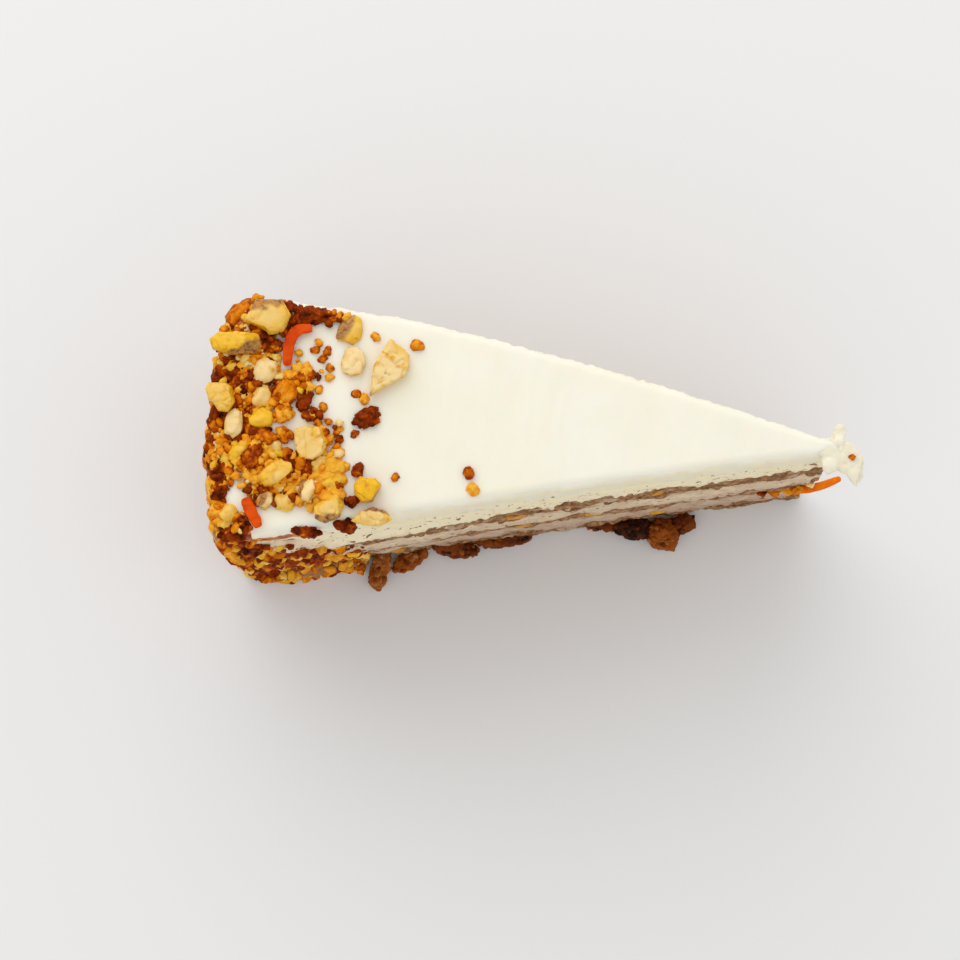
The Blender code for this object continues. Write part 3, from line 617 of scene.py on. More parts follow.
def cream_skin(name, side, material):
    """The film of cream that the knife dragged over a cut face. Where it is thin it dives into the crumb."""
    radii = steps(TIP_RADIUS + 0.5 * MM, CAKE_RADIUS - 0.8 * MM, 300)
    heights = steps(0.6 * MM, ICING_FOOT + 2.6 * MM, 156)
    sheet = bmesh.new()
    rows = []
    whiteness = sheet.verts.layers.float.new("cream")
    for radius in radii:
        row = []
        for height in heights:
            amount, white = cream_cover(radius, height, side)
            point = cut_relief(placed(radius, side, height), side, CRUMB_RELIEF, CRUMB_GRAIN)
            edge = min(radius - radii[0], radii[-1] - radius, height - heights[0], heights[-1] - height)
            rise = -0.6 + 0.86 * amount - 0.7 * ease(1.2 * MM, 0, edge)
            point = point + Vector((0, side * rise * MM, 0)) + drag_marks(point, side, 0.22 * MM)
            vert = sheet.verts.new(point)
            vert[whiteness] = white
            row.append(vert)
        rows.append(row)
    for first, second in zip(rows, rows[1:]):
        for index in range(len(heights) - 1):
            corners = (first[index], first[index + 1], second[index + 1], second[index])
            sheet.faces.new(corners if side > 0 else corners[::-1])
    show(name, mesh_of(sheet, name), material)


# Broken pieces: nuts and crumbs

class Heap:
    """Many broken pieces of one kind in a single mesh. The paint makes colours of their skin and tone; the
    tone also carries painted shade towards each piece's foot.
    """

    def __init__(self):
        self.points = []
        self.faces = []
        self.skin = []
        self.tone = []

    def add(self, points, faces, skin, tone=0.5, foot_shade=0.0):
        """Adds a piece. Its tone rises by the painted foot shade from its top to its foot, which paints shade
        on its lower side.
        """
        first = len(self.points)
        low = min(point.z for point in points)
        high = max(point.z for point in points)
        self.points += points
        self.faces += [[first + index for index in face] for face in faces]
        self.skin += skin
        # Painted shade: the tone deepens from the top of the piece to its foot.
        self.tone += [tone + foot_shade * (0.72 - (point.z - low) / (high - low)) for point in points]

    def show(self, name, material, slot):
        mesh = bpy.data.meshes.new(name)
        mesh.from_pydata(self.points, [], self.faces)
        mesh.attributes.new("skin", "FLOAT", "POINT").data.foreach_set("value", self.skin)
        mesh.attributes.new("tone", "FLOAT", "POINT").data.foreach_set("value", self.tone)
        return show(name, mesh, material)


def unit_sphere(divisions):
    ball = bmesh.new()
    bmesh.ops.create_icosphere(ball, subdivisions=divisions, radius=1)
    directions = [vert.co.normalized() for vert in ball.verts]
    faces = [[vert.index for vert in face.verts] for face in ball.faces]
    ball.free()
    return directions, faces


SPHERES = {divisions: unit_sphere(divisions) for divisions in (2, 3, 4, 5)}


def broken_shape(seed):
    """What one broken piece looks like: where its lumps lie in the noise, and its flat breaks."""
    draw = random.Random(seed)
    lumps = Vector((draw.uniform(-9, 9), draw.uniform(-9, 9), draw.uniform(-9, 9)))
    breaks = []
    for _ in range(5):
        facing = Vector((draw.gauss(0, 1), draw.gauss(0, 1), draw.gauss(0, 1))).normalized()
        breaks.append((facing, draw.uniform(0.66, 0.85)))
    return lumps, breaks


def chunk_reach(direction, lumps, breaks):
    """How far a broken piece reaches in a direction, up to 1, and how far it is from a flat break."""
    reach = 0.9 + 0.22 * noise.noise(direction * 1.2 + lumps)
    whole = reach
    for facing, depth in breaks:
        along = facing.dot(direction)
        if along > 0.3:
            reach = min(reach, depth / along)
    return reach, whole - reach


def chunk(centre, size, turn, seed, divisions, roughness, grain, skin_side=None):
    """The points, faces and skin of one broken piece that fills its size, roughness aside."""
    directions, faces = SPHERES[divisions]
    lumps, breaks = broken_shape(seed)
    points = []
    skin = []
    for direction in directions:
        reach, off_break = chunk_reach(direction, lumps, breaks)
        points.append(direction * reach)
        facing = direction.dot(skin_side) if skin_side else -1
        skin.append(ease(0.15, 0.5, facing) * ease(0.09, 0.02, off_break))
    low = [min(point[axis] for point in points) for axis in range(3)]
    high = [max(point[axis] for point in points) for axis in range(3)]
    placed_points = []
    for direction, point in zip(directions, points):
        shares = [(point[axis] - low[axis]) / (high[axis] - low[axis]) - 0.5 for axis in range(3)]
        local = Vector([shares[axis] * size[axis] for axis in range(3)])
        rough = noise.noise(local / grain + lumps) + 0.5 * noise.noise(local / (0.45 * grain) + lumps)
        broad = 0.1 * size.y * noise.noise(local / (0.5 * size.y) - lumps)
        placed_points.append(centre + turn @ (local + direction * (rough * roughness + broad)))
    return placed_points, faces, skin


def outline_reach(direction, outline):
    """How far an outline round the origin reaches in a direction."""
    reach = 0
    for start, end in zip(outline, outline[1:] + outline[:1]):
        edge = (end[0] - start[0], end[1] - start[1])
        turn = direction.x * edge[1] - direction.y * edge[0]
        if abs(turn) > 1e-9:
            along = (start[0] * edge[1] - start[1] * edge[0]) / turn
            share = (start[0] * direction.y - start[1] * direction.x) / turn
            if along > 0 and -1e-6 <= share <= 1 + 1e-6:
                reach = max(reach, along)
    return reach


def slab_point(direction, outline, height, breaks):
    """A point of a piece with an outline and a height in mm, on which flat breaks cut the upper side."""
    flat = Vector((direction.x, direction.y))
    level = math.copysign(abs(direction.z) ** 0.65, direction.z)
    reach = outline_reach(flat.normalized(), outline) if flat.length > 1e-4 else 0
    broad = flat.length ** 0.55
    for facing, depth in breaks:
        along = facing.x * direction.x + facing.y * direction.y + abs(facing.z) * level
        if along > depth:
            level *= depth / along
            broad *= depth / along
    out = flat.normalized() * reach * broad if reach else flat
    return Vector((out.x, out.y, level * height / 2)) * MM


def lying(heading, tilt=0.0):
    return Matrix.Rotation(math.radians(heading), 3, "Z") @ Matrix.Rotation(math.radians(tilt), 3, "X")


def outward(angle, heading):
    """The turn of a piece that lies against the back wall: its flat side faces the cake's axis."""
    facing = Vector((-math.cos(angle), math.sin(angle), 0))
    stand = facing.to_track_quat("Z", "Y").to_matrix()
    return stand @ Matrix.Rotation(math.radians(heading), 3, "Z")


def gap_to(spot, corners):
    """How far a spot lies from the line through the corners."""
    gaps = []
    for start, end in zip(corners, corners[1:]):
        along = end - start
        share = min(max((spot - start).dot(along) / along.length_squared, 0), 1)
        gaps.append((spot - start - along * share).length)
    return min(gaps)


def touches_walnut(x, y, reach):
    """Whether a piece at x, y in mm with this reach would touch one of the large walnuts or shreds."""
    for walnut_x, walnut_y, _, outline in WALNUTS.values():
        spot = Vector((x - walnut_x, y - walnut_y))
        corners = [Vector(corner) for corner in outline + outline[:1]]
        if gap_to(spot, corners) < reach or spot.length < outline_reach(spot.normalized(), outline):
            return True
    return touches_shred(x, y, reach)


def touches_shred(x, y, reach):
    return any(gap_to(Vector((x, y)), [Vector(point[:2]) for point in path]) < reach + STRIP_CLEARANCE
               for path in TOP_SHREDS.values())


def rim_drop(depth):
    """How much lower a small piece lies on the rounded rim, this deep inside the back."""
    return RIM_LEAN * max(RIM_ROUND - depth, 0)


def rim_pieces(first_seed):
    """Small pieces that fill the band along the rim, between the ones placed above."""
    draw = random.Random(21)
    pieces = []
    taken = [(x * MM, y * MM, length / 2 * MM) for x, y, length, _, _, _, _ in TOP_PIECES]
    for _ in range(RIM_TRIES):
        across = draw.uniform(-0.93, 0.93)
        depth = 0.5 * MM + RIM_BAND * draw.random() ** 1.3
        width = draw.uniform(2.0, 4.4) * MM
        x, y = in_plan(ICING_RADIUS - depth, across, TOP)
        crowded = any(math.hypot(x - tx, y - ty) < (width / 2 + reach) * 0.86 for tx, ty, reach in taken)
        bare = bare_of_nuts(depth, across)
        touching = touches_walnut(x / MM, y / MM, width / MM * 0.62 + 0.2)
        if crowded or bare or touching or off_the_top(depth, across):
            continue
        taken.append((x, y, width / 2))
        centre = Vector((x, y, TOP - rim_drop(depth) + width * 0.18))
        size = Vector((1.2, 1, 0.85)) * width
        turn = lying(draw.uniform(0, 180), draw.uniform(-15, 15))
        pieces.append((centre, size, turn, first_seed + len(pieces)))
    return pieces


def bare_of_nuts(depth, across):
    """Whether a place this deep inside the back lies in the bare streak or the bare strip."""
    streak = STREAK_FROM < across < STREAK_TO and depth < STREAK_BAND
    return streak or across < STRIP_TO and depth > STRIP_BAND


def off_the_top(depth, across):
    """Whether a place on top, this deep inside the back, lies outside the cut or a rounded corner."""
    corner = FAR_CORNER if across > 0 else NEAR_CORNER
    inset = (1 - abs(across)) * (ICING_RADIUS - depth) * HALF_ANGLE
    if inset > corner or depth > corner:
        return inset < CUT_MARGIN
    return math.hypot(corner - inset, corner - depth) > corner - CUT_MARGIN


def wall_spot(run, height, lift):
    """A place on the back wall and the angle that the wall faces there, round both corners."""
    side = math.copysign(1, run)
    corner = FAR_CORNER if run > 0 else NEAR_CORNER
    half_width = ICING_RADIUS * HALF_ANGLE
    bend = max(abs(run) - half_width + corner, 0) / corner
    inset = corner * (1 - math.sin(bend)) if bend > 0 else half_width - abs(run)
    radius = ICING_RADIUS - corner * (1 - math.cos(bend)) + lift * math.cos(bend)
    angle = side * (HALF_ANGLE - (inset - lift * math.sin(bend)) / radius)
    x, y = in_plan(radius, angle / HALF_ANGLE, height)
    return Vector((x, y, height)), angle + side * bend


def wall_pieces(first_seed):
    """Chopped nuts pressed into the back wall, in uneven rows."""
    draw = random.Random(8)
    pieces = []
    for row in range(WALL_ROWS):
        for column in range(WALL_COLUMNS):
            stagger = 0.5 * (row % 2)
            share = (column + stagger + draw.uniform(-0.3, 0.3)) / (WALL_COLUMNS - 0.5)
            run = WALL_NEAR + (WALL_FAR - WALL_NEAR) * min(max(share, 0), 1)
            level = min(max((row + draw.uniform(-0.25, 0.25)) / (WALL_ROWS - 1), 0), 1)
            spot, angle = wall_spot(run, WALL_LOW + (WALL_HIGH - WALL_LOW) * level, 0.5 * MM)
            size = Vector((draw.uniform(5.8, 8.2), draw.uniform(4.8, 6.6), draw.uniform(3.2, 4.8))) * MM
            pieces.append((spot, size, outward(angle, draw.uniform(-40, 40)), first_seed + len(pieces)))
    return pieces


def some_side(draw, upward):
    """The side of a nut that still has its skin on: anywhere, or towards the top of the piece."""
    return Vector((draw.gauss(0, 1), draw.gauss(0, 1), draw.gauss(upward, 1))).normalized()


def slab(centre, height, outline, seed, skin_side=None):
    """The points, faces and skin of a piece with its own outline, with grooves as in a walnut kernel."""
    directions, faces = SPHERES[5]
    lumps, breaks = broken_shape(seed)
    skin_reach = outline_reach(skin_side, outline) * MM if skin_side else 0
    points = []
    skin = []
    for direction in directions:
        point = slab_point(direction, outline, height, breaks[:2])
        groove = ease(0.12, 0, abs(noise.noise(point / (2.6 * MM) + lumps)))
        rough = noise.noise(point / (0.9 * MM) + lumps)
        patch = noise.noise(point / (1.6 * MM) - lumps)
        points.append(centre + point + direction * (0.13 * rough - 0.3 * groove) * MM)
        along = point.dot(skin_side) / skin_reach if skin_side else -1
        skin.append(ease(0.35, 0.6, along + 0.35 * patch))
    return points, faces, skin


def large_walnuts(material):
    for number, (name, (x, y, height, outline)) in enumerate(WALNUTS.items()):
        tone, side = WALNUT_LOOKS[name]
        side = Vector((*side, 0)).normalized() if side else None
        points, faces, skin = slab(Vector((x * MM, y * MM, 0)), height, outline, WALNUT_SEED + number, side)
        foot = min(point.z for point in points)
        lift = Vector((0, 0, TOP - 0.2 * MM - foot))
        heap = Heap()
        heap.add([point + lift for point in points], faces, skin, tone, NUT_PAINTED_SHADE)
        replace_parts(heap.show(name + "_fine", material, "walnut"), name)


def grains(heap, seed, centre, size, turn, tone):
    """Small grains stuck all over a lump of crumb."""
    draw = random.Random(seed)
    for _ in range(round(GRAINS * size.x * size.y / MM ** 2)):
        facing = some_side(draw, 0.6)
        spot = centre + turn @ Vector([facing[axis] * (size[axis] / 2 - GRAIN_SUNK) for axis in range(3)])
        width = draw.uniform(0.6, 1.5) * MM
        grain = Vector((1.2, 1, 0.9)) * width
        piece = chunk(spot, grain, turn, draw.randrange(100000), 2, 0.15 * width, 0.5 * width)
        heap.add(*piece, tone + draw.gauss(0, 0.15), CRUMB_PAINTED_SHADE)


def new_heaps(paints):
    return {kind: Heap() for kind in paints}


def show_heaps(name, heaps, paints):
    """Shows each heap with the paint of its kind."""
    return [heap.show(f"{name}_{kind}", paints[kind], "walnut") for kind, heap in heaps.items()]


def nuts_and_crumbs(paints, icing):
    """Every piece that is fused to the icing, sorted by kind. With the fine icing they replace its solid."""
    draw = random.Random(3)
    heaps = new_heaps(paints)
    count = 0
    for x, y, length, width, height, heading, kind in TOP_PIECES:
        centre = Vector((x, y, TOP / MM + 0.1 + height * 0.12)) * MM
        side = some_side(draw, 1.5) if kind == "skin" else None
        rough, grain = (0.14 * MM, 1.1 * MM) if kind in ("nut", "skin") else (0.4 * MM, 0.9 * MM)
        heap = heaps["nut" if kind == "skin" else kind]
        size = Vector((length, width, height)) * MM
        tone = draw.uniform(0.15, 0.85)
        heap.add(*chunk(centre, size, lying(heading), count, 4, rough, grain, side), tone, NUT_PAINTED_SHADE)
        if kind in ("golden", "dark"):
            grains(heap, count, centre, size, lying(heading), tone)
        count += 1
    for x, y, width in TOP_CRUMBS:
        centre = Vector((x, y, TOP / MM + width * 0.08)) * MM
        size = Vector((width * 1.25, width, width)) * MM
        kind = "dark" if draw.random() < 0.12 else "golden"
        piece = chunk(centre, size, lying(37 * count), count, 3, 0.2 * MM, 0.6 * MM)
        heaps[kind].add(*piece, draw.uniform(0, 0.7), CRUMB_PAINTED_SHADE)
        count += 1
    for x, y, z, length, width, height, heading in EDGE_CRUMBS:
        size = Vector((length, width, height)) * MM
        centre = Vector((x, y, z)) * MM
        heaps["dark"].add(*chunk(centre, size, lying(heading), count, 4, 0.4 * MM, 0.9 * MM))
        grains(heaps["dark"], count, centre, size, lying(heading), 0.5)
        count += 1
    for centre, size, turn, seed in rim_pieces(count):
        kind = draw.choice(("nut", "nut", "golden", "golden", "dark"))
        side = some_side(draw, 0.5) if kind == "nut" and draw.random() < 0.4 else None
        rough = 0.12 * MM if kind == "nut" else 0.34 * MM
        piece = chunk(centre, size, turn, seed, 4, rough, 1.0 * MM, side)
        heaps[kind].add(*piece, draw.uniform(0.15, 0.85), NUT_PAINTED_SHADE)
        if kind != "nut":
            grains(heaps[kind], seed, centre, size, turn, 0.5)
    for centre, size, turn, seed in wall_pieces(WALL_SEED):
        kind = draw.choice(("nut", "nut", "nut", "golden", "golden", "dark"))
        side = some_side(draw, 0.8) if kind == "nut" and draw.random() < 0.5 else None
        rough = 0.14 * MM if kind == "nut" else 0.4 * MM
        piece = chunk(centre, size, turn, seed, 3, rough, 1.1 * MM, side)
        heaps[kind].add(*piece, draw.uniform(0.15, 0.85), NUT_PAINTED_SHADE)
    for piece in [icing] + show_heaps("bits", heaps, paints):
        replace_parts(piece, "icing")


def loose_crumbs(paints):
    """Crumbs too small for the solids."""
    draw = random.Random(4)
    scatters = {"rim": rim_crumbs, "wall": wall_crumbs, "cut": cut_crumbs, "tip": tip_crumbs}
    for name, scatter in scatters.items():
        heaps = new_heaps(paints)
        scatter(heaps, draw)
        show_heaps(f"crumbs_{name}", heaps, paints)


def crumb_look(draw, spot, darker):
    """The kind and the tone of a crumb. They change slowly from place to place, so that like lies by like."""
    field = darker + noise.noise(spot / (5.5 * MM)) + 0.4 * noise.noise(spot / (2 * MM))
    field += 0.12 * draw.gauss(0, 1)
    for x, y, reach, deeper in CRUMB_PLACES:
        field += deeper * ease(1.3, 0.5, math.hypot(spot.x / MM - x, spot.y / MM - y) / reach)
    if field > 0.3:
        return "dark", 0.5
    if draw.random() < 0.14:
        return "nut", draw.uniform(0.15, 0.95)
    return "golden", min(max(0.47 + 0.9 * field + 0.2 * draw.gauss(0, 1), 0), 1)


def small_crumb(heaps, draw, centre, width, turn, darker=0.0):
    kind, tone = crumb_look(draw, centre, darker)
    size = Vector((width * draw.uniform(1, 1.5), width, width * draw.uniform(0.7, 1))) * MM
    seed = draw.randrange(100000)
    divisions = 2 if width < FINE_WIDTH else 3
    piece = chunk(centre, size, turn, seed, divisions, 0.16 * width * MM, 0.5 * width * MM)
    heaps[kind].add(*piece, tone, CRUMB_PAINTED_SHADE)


def tip_crumbs(heaps, _):
    """The crumb on the smear at the tip, and the crumbs that hang round the carrot strip there."""
    for number, (x, y, z, width, kind, tone) in enumerate(TIP_CRUMBS):
        size = Vector((1.2, 1, 0.8)) * width * MM
        seed = TIP_CRUMB_SEED + number
        piece = chunk(Vector((x, y, z)) * MM, size, lying(50 * number), seed, 4, 0.18 * MM, 0.6 * MM)
        heaps[kind].add(*piece, tone)


def rim_crumbs(heaps, draw):
    """Crumbs between the nuts on the rim, and the crowd of them further in."""
    for _ in range(RIM_CRUMBS):
        across = draw.uniform(-0.97, 0.97)
        depth = 25 * MM * draw.random() ** 1.6 - 0.5 * MM
        x, y = in_plan(ICING_RADIUS - depth, across, TOP)
        thin = depth > 13 * MM and draw.random() < 0.35
        bare = bare_of_nuts(depth, across) and 1.5 * MM < depth and draw.random() < 0.85
        kept_off = bare or touches_shred(x / MM, y / MM, 0.3) or open_icing(x / MM, y / MM)
        if thin or kept_off or off_the_top(depth, across):
            continue
        width = draw.uniform(0.6, 1.9)
        lift = 0.1 + width * 0.2 + 0.7 * draw.random() ** 3
        centre = Vector((x, y, TOP - rim_drop(depth) + lift * MM))
        small_crumb(heaps, draw, centre, width, lying(draw.uniform(0, 180)))
    crowd_x, crowd_y, reach_x, reach_y, count = CROWD
    for _ in range(count):
        angle = draw.uniform(0, 2 * math.pi)
        out = math.sqrt(draw.random())
        x = (crowd_x + reach_x * out * math.cos(angle)) * MM
        y = (crowd_y + reach_y * out * math.sin(angle)) * MM
        spot = Vector((x, y, TOP + draw.uniform(0.1, 1.1) * MM))
        small_crumb(heaps, draw, spot, 0.9 + 2.0 * draw.random() ** 2, lying(draw.uniform(0, 180)))


def wall_crumbs(heaps, draw):
    for _ in range(WALL_CRUMBS):
        run = draw.uniform(WALL_NEAR - 4 * MM, WALL_FAR + 4 * MM)
        spot, angle = wall_spot(run, draw.uniform(0.8, 72.5) * MM, draw.uniform(0.2, 1.6) * MM)
        small_crumb(heaps, draw, spot, draw.uniform(0.9, 2.4), outward(angle, 0))


def cut_crumbs(heaps, draw):
    """Crumbs over the back ends of both cuts, and along the foot of the near one."""
    for _ in range(CUT_CRUMBS):
        side = -1 if draw.random() < 0.7 else 1
        back = draw.random() ** 1.5
        radius = CAKE_RADIUS + (3.6 - 26 * back) * MM
        height = draw.uniform(0.8, 72.5 - 24 * back) * MM
        spot = placed(radius, side, height)
        turn = lying(draw.uniform(0, 180), draw.uniform(0, 180))
        darker = 0.12 * ease(TOP, 60 * MM, height)
        small_crumb(heaps, draw, spot, 0.8 + 2.2 * draw.random() ** 2, turn, darker)
    for _ in range(FOOT_CRUMBS):
        radius = ICING_RADIUS - 26 * MM * draw.random()
        height = 5 * MM * draw.random() ** 2
        x, y = in_plan(radius, -1, height)
        y -= 2.6 * MM * draw.random() * ease(0, 5 * MM, ICING_RADIUS - radius)
        width = draw.uniform(0.8, 2.2)
        spot = Vector((x, y, height + 0.4 * width * MM))
        small_crumb(heaps, draw, spot, width, lying(draw.uniform(0, 180)))


def open_icing(x, y):
    """Whether a place on top, in mm, is icing that the photograph shows bare."""
    for cx, cy, reach_x, reach_y in OPEN_PATCHES:
        if ((x - cx) / reach_x) ** 2 + ((y - cy) / reach_y) ** 2 < 1:
            return True
    return x > OPEN_X and y > OPEN_Y


# Carrot

def along_path(points, share):
    """The place and the direction at a share of a smooth path through the points."""
    def place(at):
        at = min(max(at, 0), 0.9999) * (len(points) - 1)
        index = int(at)
        part = at - index
        before = points[max(index - 1, 0)]
        start = points[index]
        end = points[index + 1]
        after = points[min(index + 2, len(points) - 1)]
        return 0.5 * (
            2 * start + (end - before) * part + (2 * before - 5 * start + 4 * end - after) * part ** 2
            + (3 * start - before - 3 * end + after) * part ** 3
        )
    return place(share), (place(share + 0.02) - place(share - 0.02)).normalized()


def strip_points(path, width, depth, facing, seed, length_steps=48, round_steps=14):
    """The points and faces of a carrot shred: a flat strip with soft edges and fibres along it."""
    points = [Vector(point) * MM for point in path]
    made = []
    for step in range(length_steps + 1):
        share = step / length_steps
        middle, along = along_path(points, share)
        side = facing.cross(along).normalized()
        lift = along.cross(side)
        taper = (1 - 0.45 * abs(2 * share - 1) ** 3) * (1 if 0 < step < length_steps else 0.55)
        for turn in range(round_steps):
            angle = 2 * math.pi * turn / round_steps
            flat = math.copysign(abs(math.cos(angle)) ** 0.45, math.cos(angle))
            thick = math.copysign(abs(math.sin(angle)) ** 0.6, math.sin(angle))
            spot = Vector((share * 7, math.cos(angle) * 2.3, math.sin(angle) * 2.3 + seed))
            fibre = 1 + 0.14 * noise.noise(spot)
            offset = side * flat * width / 2 * taper * fibre + lift * thick * depth / 2 * fibre
            made.append(middle + offset)
    faces = []
    for step in range(length_steps):
        for turn in range(round_steps):
            beside = (turn + 1) % round_steps
            row, above = step * round_steps, (step + 1) * round_steps
            faces.append([row + turn, row + beside, above + beside, above + turn])
    faces.append(list(range(round_steps))[::-1])
    faces.append([length_steps * round_steps + turn for turn in range(round_steps)])
    return made, faces


def shred(name, path, width, depth, facing, material):
    """A carrot shred along a path in mm."""
    made, faces = strip_points(path, width, depth, facing, len(name))
    heap = Heap()
    heap.add(made, faces, [0.0] * len(made))
    return heap.show(name, material, "carrot")


def carrot_shreds(material):
    for name, path in TOP_SHREDS.items():
        piece = shred(name + "_fine", path, SHRED_WIDTH, SHRED_DEPTH, Vector((0, 0, 1)), material)
        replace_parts(piece, name)


def tip_shred(material):
    """The strip that stands out at the tip. It is part of the middle cake layer's solid."""
    shred("tip_shred", TIP_SHRED, TIP_SHRED_WIDTH, TIP_SHRED_DEPTH, Vector((0, 0, 1)), material)


def inclusions(carrot, nut):
    """Carrot shreds and nut pieces that the knife cut through: they lie in the cut faces of the sponge."""
    draw = random.Random(77)
    strips = Heap()
    nuts = Heap()
    for number in range(INCLUSIONS):
        side = 1 if number % 4 else -1
        storey = number % 3
        radius = draw.uniform(12, 116)
        height = STOREY / MM * storey + draw.uniform(2.5, 15)
        x, y = in_plan(radius * MM, side, height * MM)
        spot = Vector((x / MM, y / MM - 0.05 * side, height))
        rise = draw.uniform(-0.6, 0.6)
        reach = draw.uniform(1.2, 3.4)
        lengthways = Vector((math.cos(rise), -side * math.tan(HALF_ANGLE) * math.cos(rise), math.sin(rise)))
        bend = Vector((0, 0, draw.uniform(-0.8, 0.8)))
        path = (spot - lengthways * reach, spot + bend, spot + lengthways * reach)
        if number % 4:
            made, faces = strip_points(path, 1.1 * MM, 0.7 * MM, Vector((0, side, 0)), number, 16, 8)
            strips.add(made, faces, [0.0] * len(made))
        else:
            size = Vector((draw.uniform(2.5, 4.5), 1.2, draw.uniform(2, 3.4))) * MM
            turn = lying(-side * math.degrees(HALF_ANGLE))
            seed = INCLUSION_SEED + number
            nuts.add(*chunk(spot * MM, size, turn, seed, 4, 0.08 * MM, 0.8 * MM), 1.0)
    strips.show("cut_carrot", carrot, "carrot")
    nuts.show("cut_nuts", nut, "walnut")


def foot_lumps(material):
    """Lumps of sponge squashed out along the foot of the near cut."""
    heap = Heap()
    for number, (x, y, length, width, height, heading) in enumerate(FOOT_LUMPS):
        centre = Vector((x, y, height / 2)) * MM + Vector((0, 0, GAP))
        size = Vector((length, width, height)) * MM
        piece = chunk(centre, size, lying(heading), LUMP_SEED + number, 5, 0.4 * MM, 1.1 * MM)
        heap.add(*piece, LUMP_TONES[number])
        grains(heap, number, centre, size, lying(heading), LUMP_TONES[number])
    for point in heap.points:
        point.z = max(point.z, 0)
    heap.show("foot_lumps", material, "cake")


def tip_smear(material):
    """The smear across the tip: its lobes and the bodies that join them, melted into one soft body."""
    heap = Heap()
    for number, (x, y, z, height, outline) in enumerate(TIP_SMEAR):
        heap.add(*slab(Vector((x, y, z)) * MM, height, outline, LOBE_SEED + number))
    for x, y, z, length, width, height, heading in SMEAR_BRIDGES:
        size = Vector((length, width, height)) * MM
        seed = BRIDGE_SEED + int(x)
        heap.add(*chunk(Vector((x, y, z)) * MM, size, lying(heading), seed, 4, 0.1 * MM, 1.6 * MM))
    rough = heap.show("rough_smear", material, "icing")
    melt = rough.modifiers.new("melt", "REMESH")
    melt.mode = "VOXEL"
    melt.voxel_size = 0.2 * MM
    smooth = rough.modifiers.new("smooth", "SMOOTH")
    smooth.iterations = 5
    graph = bpy.context.evaluated_depsgraph_get()
    mesh = bpy.data.meshes.new_from_object(rough.evaluated_get(graph))
    bpy.data.objects.remove(rough)
    for vert in mesh.vertices:
        curd = noise.noise(vert.co / (1.8 * MM)) + 0.35 * noise.noise(vert.co / (0.7 * MM))
        vert.co += vert.normal * 0.2 * MM * curd
    mesh.materials.clear()
    show("tip_smear", mesh, material)


# Materials

def new_paint(name, roughness, subsurface, depth, specular):
    """A material, its node tree and its shader."""
    material = bpy.data.materials.new(name)
    material.use_nodes = True
    tree = material.node_tree
    shader = tree.nodes["Principled BSDF"]
    shader.inputs["Roughness"].default_value = roughness
    shader.inputs["Subsurface Weight"].default_value = subsurface
    shader.inputs["Subsurface Radius"].default_value = (1.0, 0.6, 0.35)
    shader.inputs["Subsurface Scale"].default_value = depth
    shader.inputs["Specular IOR Level"].default_value = specular
    return material, tree, shader


def spots(tree, scale, detail=4.0, distortion=0.0):
    """Noise in the place of the piece. The scale is how many times a millimetre it repeats."""
    where = tree.nodes.new("ShaderNodeTexCoord")
    texture = tree.nodes.new("ShaderNodeTexNoise")
    texture.inputs["Scale"].default_value = scale / MM
    texture.inputs["Detail"].default_value = detail
    texture.inputs["Distortion"].default_value = distortion
    tree.links.new(where.outputs["Object"], texture.inputs["Vector"])
    return texture.outputs["Fac"]


def ramp(tree, value, stops):
    """Colours for a value: each stop is a place from 0 to 1 and a linear colour."""
    node = tree.nodes.new("ShaderNodeValToRGB")
    while len(node.color_ramp.elements) < len(stops):
        node.color_ramp.elements.new(1.0)
    for element, (place, colour) in zip(node.color_ramp.elements, stops):
        element.position = place
        element.color = (*colour, 1)
    tree.links.new(value, node.inputs["Fac"])
    return node.outputs["Color"]


def threshold(tree, value, low, high):
    node = tree.nodes.new("ShaderNodeMapRange")
    node.interpolation_type = "SMOOTHSTEP"
    node.inputs["From Min"].default_value = low
    node.inputs["From Max"].default_value = high
    tree.links.new(value, node.inputs["Value"])
    return node.outputs["Result"]


def blended(tree, share, first, second):
    node = tree.nodes.new("ShaderNodeMix")
    node.data_type = "RGBA"
    tree.links.new(share, node.inputs["Factor"])
    tree.links.new(first, node.inputs["A"])
    tree.links.new(second, node.inputs["B"])
    return node.outputs["Result"]


def stored(tree, name):
    node = tree.nodes.new("ShaderNodeAttribute")
    node.attribute_name = name
    return node.outputs["Fac"]


def bumps(tree, shader, value, distance, strength):
    node = tree.nodes.new("ShaderNodeBump")
    node.inputs["Distance"].default_value = distance
    node.inputs["Strength"].default_value = strength
    tree.links.new(value, node.inputs["Height"])
    tree.links.new(node.outputs["Normal"], shader.inputs["Normal"])


def colour_with(tree, shader, colour):
    tree.links.new(colour, shader.inputs["Base Color"])


def mixed(tree, share, first, second):
    """The first value, with a share of the second one."""
    node = tree.nodes.new("ShaderNodeMix")
    node.data_type = "FLOAT"
    node.inputs["Factor"].default_value = share
    tree.links.new(first, node.inputs["A"])
    tree.links.new(second, node.inputs["B"])
    return node.outputs["Result"]


